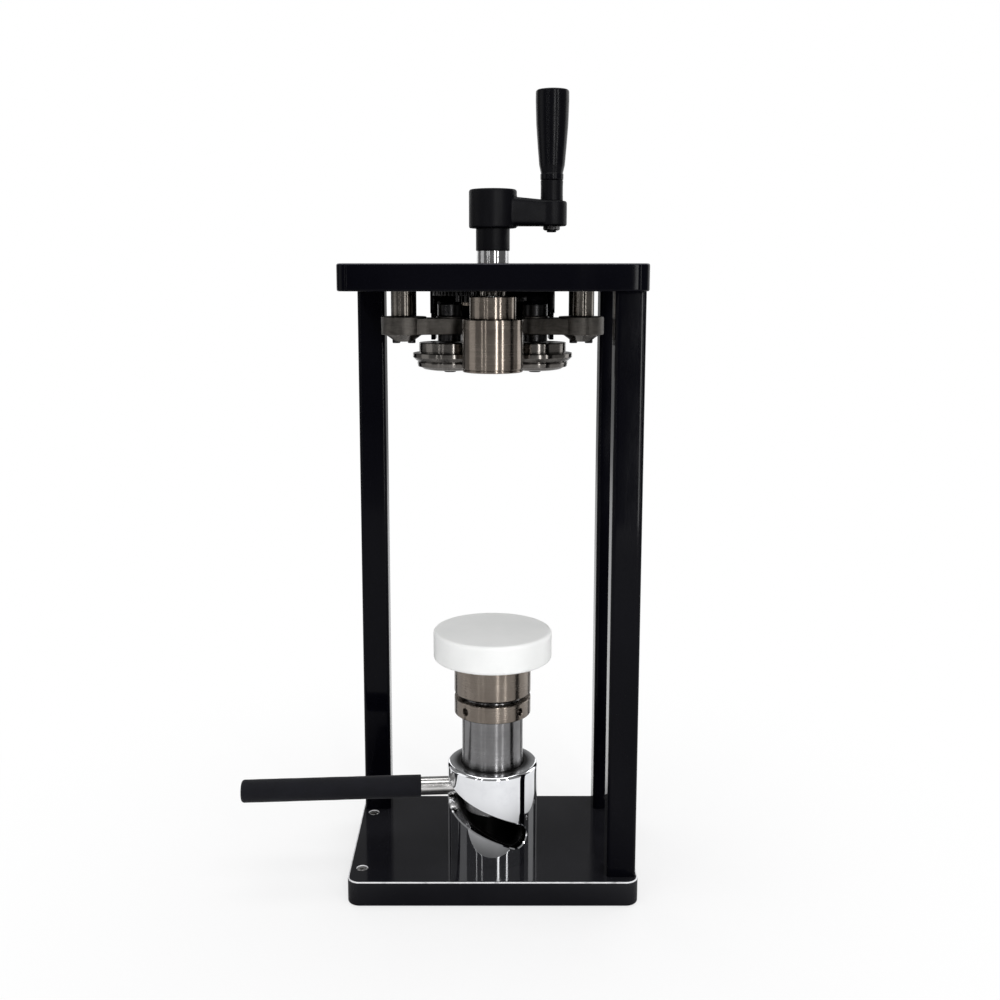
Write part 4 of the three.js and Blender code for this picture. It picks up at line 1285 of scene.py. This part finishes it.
@dataclass(frozen=True)
class Spindle:
    """Spindle, bearings, collar, chuck and the shroud behind them."""

    neck: float = 6.0
    journal: float = 10.0
    collar: float = 13.3
    shield: tuple[float, float] = (12.4, 15.8)
    shield_deep: float = 0.7
    floor_deep: float = 2.4
    screw_seat: float = 8.9
    screw_bore: float = 3.3
    head_bore: float = 5.4

    def bearings(self) -> None:
        """Two ball bearings with a shield groove each side."""
        for node in ("spindle_bearing_lower", "spindle_bearing_upper"):
            box = NodeBox.of(node)
            inner, outer = self.journal + GAP, box.radius
            near, far = self.shield
            low, top = box.bottom, box.top
            sunk_low, sunk_top = low + self.shield_deep, top - self.shield_deep
            lathe_piece(node, [
                (inner, low, 0.4), (near, low, 0.2), (near, sunk_low, 0.2), (far, sunk_low, 0.2),
                (far, low, 0.2), (outer, low, 0.4), (outer, top, 0.4), (far, top, 0.2),
                (far, sunk_top, 0.2), (near, sunk_top, 0.2), (near, top, 0.2), (inner, top, 0.4),
            ], bored=True)

    def shaft(self) -> None:
        """The stepped steel spindle."""
        box, plate = NodeBox.of("spindle_shaft"), NodeBox.of("top_plate")
        sleeve = NodeBox.of("crank_sleeve")
        above = plate.top + GAP
        ground = TurnedMetal(box.axis, (0.36, 0.36, 0.365), (0.56, 0.56, 0.565), 0.24)
        lathe_piece("spindle_shaft", [
            (0, box.bottom, 0), (self.neck, box.bottom, 0.4), (self.neck, plate.bottom, 0),
            (self.journal, plate.bottom, 0.4), (self.journal, above, 0), (self.collar, above, 0.5),
            (self.collar, sleeve.bottom, 0.3), (self.journal, sleeve.bottom, 0), (self.journal, box.top, 0.6),
            (0, box.top, 0),
        ], material=ground.material("ground_spindle"))

    def chuck(self) -> None:
        """Collar and chuck, with a groove above the chuck's lip and a sunk face inside it."""
        collar, chuck = NodeBox.of("chuck_collar"), NodeBox.of("seaming_chuck")
        bore = self.neck + GAP
        lathe_piece("chuck_collar", ring_corners(collar, bore, 0.6), bored=True)
        radius, low = chuck.radius, chuck.bottom
        lip, groove = radius - 0.4, radius - 1.1
        floor, seat, neck_end = low + self.floor_deep, low + self.screw_seat, low + 12
        lathe_piece("seaming_chuck", [
            (self.head_bore, seat, 0), (self.head_bore, floor, 0.3), (19.5, floor, 0.5), (20.5, low, 0.3),
            (lip, low, 0.8), (lip, low + 1.8, 0.2), (groove, low + 2.1, 0.1), (groove, low + 2.7, 0.1),
            (radius, low + 3.0, 0.25), (radius, chuck.top, 0.9), (bore, chuck.top, 0.4), (bore, neck_end, 0),
            (self.screw_bore, neck_end, 0), (self.screw_bore, seat, 0),
        ], bored=True, sides=200)
        CapScrew("chuck_screw", False, 2.9, 6.0, 2.9, 20).build()

    def shroud(self) -> None:
        """The folded shroud behind the gears: the node's own shape with eased edges."""
        node = frame["nodes"]["drive_housing"]
        made = bpy.data.objects.new("drive_housing_folded", node.data.copy())
        bpy.context.scene.collection.objects.link(made)
        weld(made)
        flat = bmesh.new()
        flat.from_mesh(made.data)
        bmesh.ops.dissolve_limit(flat, angle_limit=math.radians(1), verts=flat.verts, edges=flat.edges)
        flat.to_mesh(made.data)
        flat.free()
        publish(eased(made, 0.7, 3), "drive_housing")

    def build(self) -> None:
        """Makes everything that hangs on the spindle's axis under the top plate."""
        self.bearings()
        self.shaft()
        self.chuck()
        self.shroud()


@dataclass(frozen=True)
class Crank:
    """Sleeve, moulded crank arm, axle and revolving grip."""

    hub: float = 20.0
    root_half: float = 13.5
    end_half: float = 11.6
    end_top: float = 22.2
    square: float = 0.35
    voxel: float = 0.55

    def bar(self, start: float, end: float, low: float, high_start: float, high_end: float) -> Surface:
        """The arm's bar: round-cornered sections that narrow and drop from the hub to the end.

        Each section is a superellipse: the cosine and sine of the section angle, each raised to one power.
        """
        share = np.linspace(0, 1, 30)[:, None]
        angle = np.linspace(0, 2 * np.pi, 96, endpoint=False)[None]
        across = np.sign(np.cos(angle)) * np.abs(np.cos(angle)) ** self.square
        upward = np.sign(np.sin(angle)) * np.abs(np.sin(angle)) ** self.square
        half = self.root_half + (self.end_half - self.root_half) * share
        high = high_start + (high_end - high_start) * share
        x = np.broadcast_to(start + (end - start) * share, (30, 96))
        sheet = np.stack([x, half * across, (low + high) / 2 + (high - low) / 2 * upward], axis=-1)
        return Surface().grid(sheet, around=True).cap(sheet[0]).cap(sheet[-1])

    def arm(self) -> None:
        """Hub, bar and end boss melted into one moulding with soft inner corners."""
        box, sleeve, axle = (NodeBox.of(node) for node in ("crank_arm", "crank_sleeve", "grip_axle"))
        reach = axle.axis[0]
        low, end_top = sleeve.top + 1.7, sleeve.top + self.end_top
        hub = drum(self.hub, box.bottom, box.top, (1.2, 1.8))
        boss = drum(box.high[0] - reach, low, end_top, (1.4, 1.6), axle.axis)
        piece = hub.to_object("crank_arm_moulded")
        carve(piece, [self.bar(2, reach, low, sleeve.top + 27.0, end_top + 0.3), boss], Carve.JOIN)
        melt = piece.modifiers.new("melt", "REMESH")
        melt.mode = "VOXEL"
        melt.voxel_size = self.voxel * MM
        soften = piece.modifiers.new("soften", "CORRECTIVE_SMOOTH")
        soften.factor = 0.5
        soften.iterations = 6
        soften.use_only_smooth = True
        settle(piece)
        weld(piece, 80)
        publish(piece, "crank_arm")

    def grip(self) -> None:
        """The axle's neck, its nut and the revolving grip."""
        sleeve, axle, grip = (NodeBox.of(node) for node in ("crank_sleeve", "grip_axle", "crank_grip"))
        lathe_piece("crank_sleeve", ring_corners(sleeve, 10.4, 0.6), bored=True)
        seat = sleeve.top + self.end_top
        neck = grip.bottom - GAP
        waist = axle.radius - 0.2
        lathe_piece("grip_axle", [
            (0, axle.bottom, 0), (4, axle.bottom, 0.8), (4, seat, 0), (axle.radius, seat, 0.6),
            (waist, seat + 5, 6.0), (waist, neck - 4, 6.0), (axle.radius, neck, 0.5), (4, neck, 0),
            (4, axle.top, 0.5), (0, axle.top, 0),
        ], sides=96, material=MouldedPlastic(rough=0.36).material("blackened_neck"))
        low, top, high = grip.bottom, grip.top, grip.radius
        lathe_piece("crank_grip", [
            (4.4, low, 0.2), (9.5, low, 0.7), (9.6, low + 4.6, 0.3), (9.1, low + 5.4, 0.3),
            (10.6, low + 12, 12.0), (11.9, low + 27, 30.0), (13.2, low + 45, 40.0), (high, low + 64, 30.0),
            (high - 0.1, top, 1.9), (4.2, top, 0.6), (3.6, top - 0.8, 0.3), (0, top - 0.8, 0),
            (0, axle.top + 1, 0), (4.4, axle.top + 1, 0),
        ], bored=True, sides=128, material=MouldedPlastic(rough=0.20, pebble=0.004).material("glossy_grip"))
        self.nut()

    def nut(self) -> None:
        """The hexagon nut under the arm: each ring's radius is a hexagon's, cut back at the corners."""
        box = NodeBox.of("grip_axle_nut")
        angle = np.linspace(0, 2 * np.pi, 120, endpoint=False)
        flat = box.radius * math.cos(math.pi / 6)
        hexagon = flat / np.cos((angle % (np.pi / 3)) - np.pi / 6)
        low, top = box.bottom, box.top
        chamfer = np.minimum(hexagon, flat * 1.02)
        rings = [
            (4.4, low), (flat * 0.93, low), (chamfer, low + 0.25), (hexagon, low + 0.9),
            (hexagon, top - 0.3), (chamfer, top), (4.4, top), (4.4, low),
        ]
        nut = ringed(rings, angle).placed(Euler((0, 0, 0)), (*box.axis, 0))
        publish(nut.to_object("grip_axle_nut_hexagon", 25), "grip_axle_nut", SHOP.material(Slot.OXIDE))

    def build(self) -> None:
        """Makes the whole crank."""
        self.arm()
        self.grip()


# ------------------------------------------------------------------ seaming stations


@dataclass(frozen=True)
class Station:
    """One seaming arm with its pivot, roller and follower."""

    side: str
    arm_steel: MilledMetal = MilledMetal(
        (0.050, 0.046, 0.042), (0.095, 0.088, 0.080), 0.44, (160.0, 160.0, 500.0),
    )
    # Painted shade: the pivot posts' steel is mixed darker than the other turned steel, to stand in for the
    # shadow under the top plate.
    painted_shade_post_tones: tuple[Colour, Colour] = ((0.085, 0.077, 0.068), (0.16, 0.146, 0.130))
    boss: float = 20.0
    roller_boss: float = 15.0
    tip_boss: float = 7.5
    pivot_axle: float = 6.0
    cap_foot: float = 8.0
    shank: float = 4.0
    roller_seat: float = 12.2
    lower_head: float = 5.3
    spacer_tall: float = 6.4
    follower_pin: float = 3.0

    def box(self, stem: str) -> NodeBox:
        """The box of one of this side's nodes."""
        return NodeBox.of(f"{stem}_{self.side}")

    def arm(self) -> None:
        """The milled arm: a boss at the pivot, and two links that stand a little lower than it."""
        node = f"seaming_arm_{self.side}"
        box = NodeBox.of(node)
        pivot, roller, tip = (
            np.array(self.box(stem).axis) for stem in ("pivot_post", "roller_axle", "cam_follower")
        )
        low, top, bar_top = box.bottom, box.top, box.top - 1.4
        boss = drum(self.boss, low, top, (0.8, 0.8), tuple(pivot))
        main_plan = capsule(pivot, self.boss - 2.5, roller, self.roller_boss)
        tail_plan = capsule(roller, self.roller_boss - 2, tip, self.tip_boss)
        main = milled(main_plan, low + 0.3, bar_top, 0.7)
        tail = milled(tail_plan, low + 0.6, bar_top - 0.3, 0.7)
        pad = drum(self.tip_boss - 0.3, bar_top - 3, top, (0, 0.5), tuple(tip), SMALL_SIDES)
        seat = drum(self.roller_seat, bar_top - 3, top, (0, 0.5), tuple(roller), SMALL_SIDES)
        piece = carve(boss.to_object(f"{node}_milled"), [main, tail, pad, seat], Carve.JOIN)
        publish(piece, node, self.arm_steel.material(f"arm_steel_{self.side}"))

    def pivot(self) -> None:
        """The post, the cap under the arm and the cap's two screws."""
        post, cap = self.box("pivot_post"), self.box("pivot_cap")
        shoulder = self.box("seaming_arm").top + GAP
        # The darker tones paint the shade under the top plate into the post's steel.
        steel = TurnedMetal(post.axis, *self.painted_shade_post_tones, 0.25)
        lathe_piece(f"pivot_post_{self.side}", [
            (0, post.bottom, 0), (self.pivot_axle, post.bottom, 0.5), (self.pivot_axle, shoulder, 0.2),
            (post.radius, shoulder, 0.5), (post.radius, post.top, 0.2), (0, post.top, 0),
        ], sides=112, material=steel.material(f"painted_shade_post_steel_{self.side}"))
        cone = turned(rounded([
            (0, cap.bottom, 0), (self.cap_foot, cap.bottom, 0.6), (cap.radius, cap.top - 0.5, 0.3),
            (cap.radius, cap.top, 0.1), (0, cap.top, 0),
        ]), cap.axis, 112)
        pockets = []
        for where in ("outer", "inner"):
            screw = CapScrew(f"pivot_cap_screw_{self.side}_{where}", False, 2.0, 3.5, 1.7, 18)
            screw.build()
            box = NodeBox.of(screw.node)
            seat = box.bottom + screw.head_tall
            pockets.append(drum(box.radius + GAP, cap.bottom - 2, seat, axis=box.axis, sides=48))
        piece = carve(cone.to_object(f"pivot_cap_{self.side}_turned"), pockets, Carve.CUT)
        publish(piece, f"pivot_cap_{self.side}")

    def roller(self) -> None:
        """The profiled roller, its axle with spacer and lower head, its nut and the cam follower."""
        roller, axle, nut = self.box("seaming_roller"), self.box("roller_axle"), self.box("roller_nut")
        arm = self.box("seaming_arm")
        low, top, rim = roller.bottom, roller.top, roller.radius
        lathe_piece(f"seaming_roller_{self.side}", [
            (4.4, low, 0.2), (17.5, low, 1.0), (23.2, low + 1.0, 3.0), (26.2, low + 3.0, 1.0),
            (28.4, low + 3.2, 0.5), (29, low + 6.2, 0.6), (29, low + 7.3, 0.3), (27.4, low + 7.6, 0.3),
            (27.4, low + 8.2, 0.2), (rim - 3.2, low + 8.6, 0.4), (rim, low + 11.6, 0.5),
            (rim, low + 15.3, 0.5), (27.2, low + 15.8, 0.2), (27.2, low + 16.4, 0.2),
            (27.5, low + 16.7, 0.3), (27.5, top, 0.7), (4.4, top, 0.3),
        ], bored=True, sides=200)
        spacer, head_top = arm.bottom - self.spacer_tall, low - GAP
        lathe_piece(f"roller_axle_{self.side}", [
            (0, axle.bottom, 0), (self.lower_head, axle.bottom, 1.0), (self.lower_head, head_top, 0.2),
            (self.shank, head_top, 0), (self.shank, spacer, 0), (axle.radius, spacer, 0.6),
            (axle.radius, arm.bottom, 0.2), (self.shank, arm.bottom, 0), (self.shank, axle.top, 0.5),
            (0, axle.top, 0),
        ], sides=96)
        lathe_piece(f"roller_nut_{self.side}", ring_corners(nut, self.shank + GAP, 0.9), bored=True, sides=96)
        follower = self.box("cam_follower")
        pin, collar = self.follower_pin, arm.top + GAP
        lathe_piece(f"cam_follower_{self.side}", [
            (0, follower.bottom, 0), (pin, follower.bottom, 0.3), (pin, collar, 0),
            (follower.radius, collar, 0.4), (follower.radius, follower.top, 0.6), (0, follower.top, 0),
        ], sides=SMALL_SIDES)

    def build(self) -> None:
        """Makes the whole station."""
        self.arm()
        self.pivot()
        self.roller()


# ------------------------------------------------------------------ studio


@dataclass(frozen=True)
class Lamp:
    """A soft upright rectangular lamp that stands round the machine."""

    name: str
    azimuth: float
    size: tuple[float, float]
    glow: float
    distance: float = 2.3
    height: float = 0.95

    def build(self) -> None:
        """Hangs the lamp, facing the machine's axis. Its power is its glow times pi times its area."""
        light = bpy.data.lights.new(self.name, "AREA")
        light.shape = "RECTANGLE"
        light.size, light.size_y = self.size
        light.energy = self.glow * math.pi * self.size[0] * self.size[1]
        made = bpy.data.objects.new(self.name, light)
        bearing = math.radians(self.azimuth)
        made.location = (self.distance * math.sin(bearing), -self.distance * math.cos(bearing), self.height)
        upright = Vector((-made.location.x, -made.location.y, 0.0))
        overhead = Vector((0.0, 0.0, -1.0))
        made.rotation_euler = (upright if self.distance else overhead).to_track_quat("-Z", "Y").to_euler()
        made.visible_camera = False
        bpy.context.scene.collection.objects.link(made)


@dataclass(frozen=True)
class Studio:
    """Pale floor, white surroundings, soft lamps and the camera."""

    camera_place: tuple[float, float, float] = (-0.0049, -0.9876, 0.533)
    camera_pitch: float = 8.6
    lens: float = 41.8
    shift: tuple[float, float] = (0.013, -0.047)
    floor_reach: float = 6.0
    ambient: float = 0.22
    lamps: tuple[Lamp, ...] = (
        Lamp("strip_front", 14.5, (0.18, 1.9), 16.0),
        Lamp("strip_right", 37.0, (0.11, 1.9), 17.0),
        Lamp("strip_left", -27.0, (0.05, 1.9), 7.0),
        Lamp("strip_far_left", -41.0, (0.06, 1.9), 6.0),
        Lamp("panel_left", -84.0, (1.2, 1.8), 0.9),
        Lamp("panel_right", 118.0, (1.0, 1.8), 1.8),
        Lamp("panel_back_left", -148.0, (1.0, 1.6), 1.2),
        Lamp("panel_back_right", 148.0, (1.0, 1.6), 1.2),
        Lamp("overhead", 0.0, (2.2, 2.2), 2.8, 0.0, 2.3),
    )

    def floor(self) -> None:
        """A plain pale floor at the base plate's underside that runs out into plain white.

        The eye sees lit paper close by and white further out. Polished metal sees the paper as dark close to
        the machine, as if it stood on its own shadow.
        """
        reach = self.floor_reach / MM
        line = np.linspace(-reach, reach, 3)
        x, y = np.meshgrid(line, line, indexing="ij")
        made = Surface().grid(np.stack([x, y, np.full_like(x, -0.3)], axis=-1)).to_object("studio_floor")
        recipe = Recipe("studio_floor_paper")
        seen = Term(recipe, recipe.node("ShaderNodeLightPath", {}, {}).outputs["Is Camera Ray"])
        radius = recipe.radius((0.0, 0.0))
        tone = seen + (1.0 - seen) * radius.between(0.09, 0.23)
        recipe.finish(Base_Color=recipe.blend(tone, (0.05, 0.05, 0.05), (0.87, 0.87, 0.875)), Roughness=0.7)
        glow = recipe.node("ShaderNodeEmission", {}, {"Strength": 1.0})
        share = seen * (radius.between(0.12, 0.60) * 0.30 + 0.70)
        sockets = {0: share, 1: recipe.shader.outputs[0], 2: glow.outputs[0]}
        mixed = recipe.node("ShaderNodeMixShader", {}, sockets)
        recipe.feed(recipe.tree.nodes["Material Output"].inputs["Surface"], mixed.outputs[0])
        made.data.materials.append(recipe.material)

    def surroundings(self) -> None:
        """White to the eye, softer grey as light, so that black gloss stays black."""
        world = bpy.data.worlds.new("studio_surroundings")
        bpy.context.scene.world = world
        world.use_nodes = True
        tree = world.node_tree
        sky = tree.nodes["Background"]
        path = tree.nodes.new("ShaderNodeLightPath")
        level = tree.nodes.new("ShaderNodeMapRange")
        level.inputs["To Min"].default_value = self.ambient
        tree.links.new(path.outputs["Is Camera Ray"], level.inputs["Value"])
        tree.links.new(level.outputs["Result"], sky.inputs["Strength"])
        sky.inputs["Color"].default_value = (1.0, 1.0, 1.0, 1.0)

    def camera(self) -> None:
        """The camera, level with the top plate and tipped a little down."""
        data = bpy.data.cameras.new("studio_camera")
        data.sensor_width = 36.0
        data.lens = self.lens
        data.shift_x, data.shift_y = self.shift
        data.clip_start, data.clip_end = 0.05, 50.0
        made = bpy.data.objects.new("studio_camera", data)
        made.location = self.camera_place
        made.rotation_euler = (math.radians(90 - self.camera_pitch), 0, 0)
        bpy.context.scene.collection.objects.link(made)
        bpy.context.scene.camera = made

    def build(self) -> None:
        """Sets the whole studio."""
        bpy.context.scene.view_settings.view_transform = "Standard"
        self.floor()
        self.surroundings()
        for lamp in self.lamps:
            lamp.build()
        self.camera()


# ------------------------------------------------------------------ whole machine


def write_sizes() -> None:
    """Updates the view layer."""
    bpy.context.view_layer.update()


def main() -> None:
    """Builds the machine's sub-assemblies in order, then the studio round them."""
    assemblies: list[tuple[str, Callable[[], None]]] = [
        ("studio", Studio().build),
        ("open frame", OpenFrame().build),
        ("lift", Lift().build),
        ("gear train", GearTrain().build),
        ("spindle", Spindle().build),
        ("crank", Crank().build),
        ("left station", Station("left").build),
        ("right station", Station("right").build),
    ]
    for title, build in assemblies:
        log.info("-- %s", title)
        build()
    write_sizes()


if __name__ == "__main__":
    main()
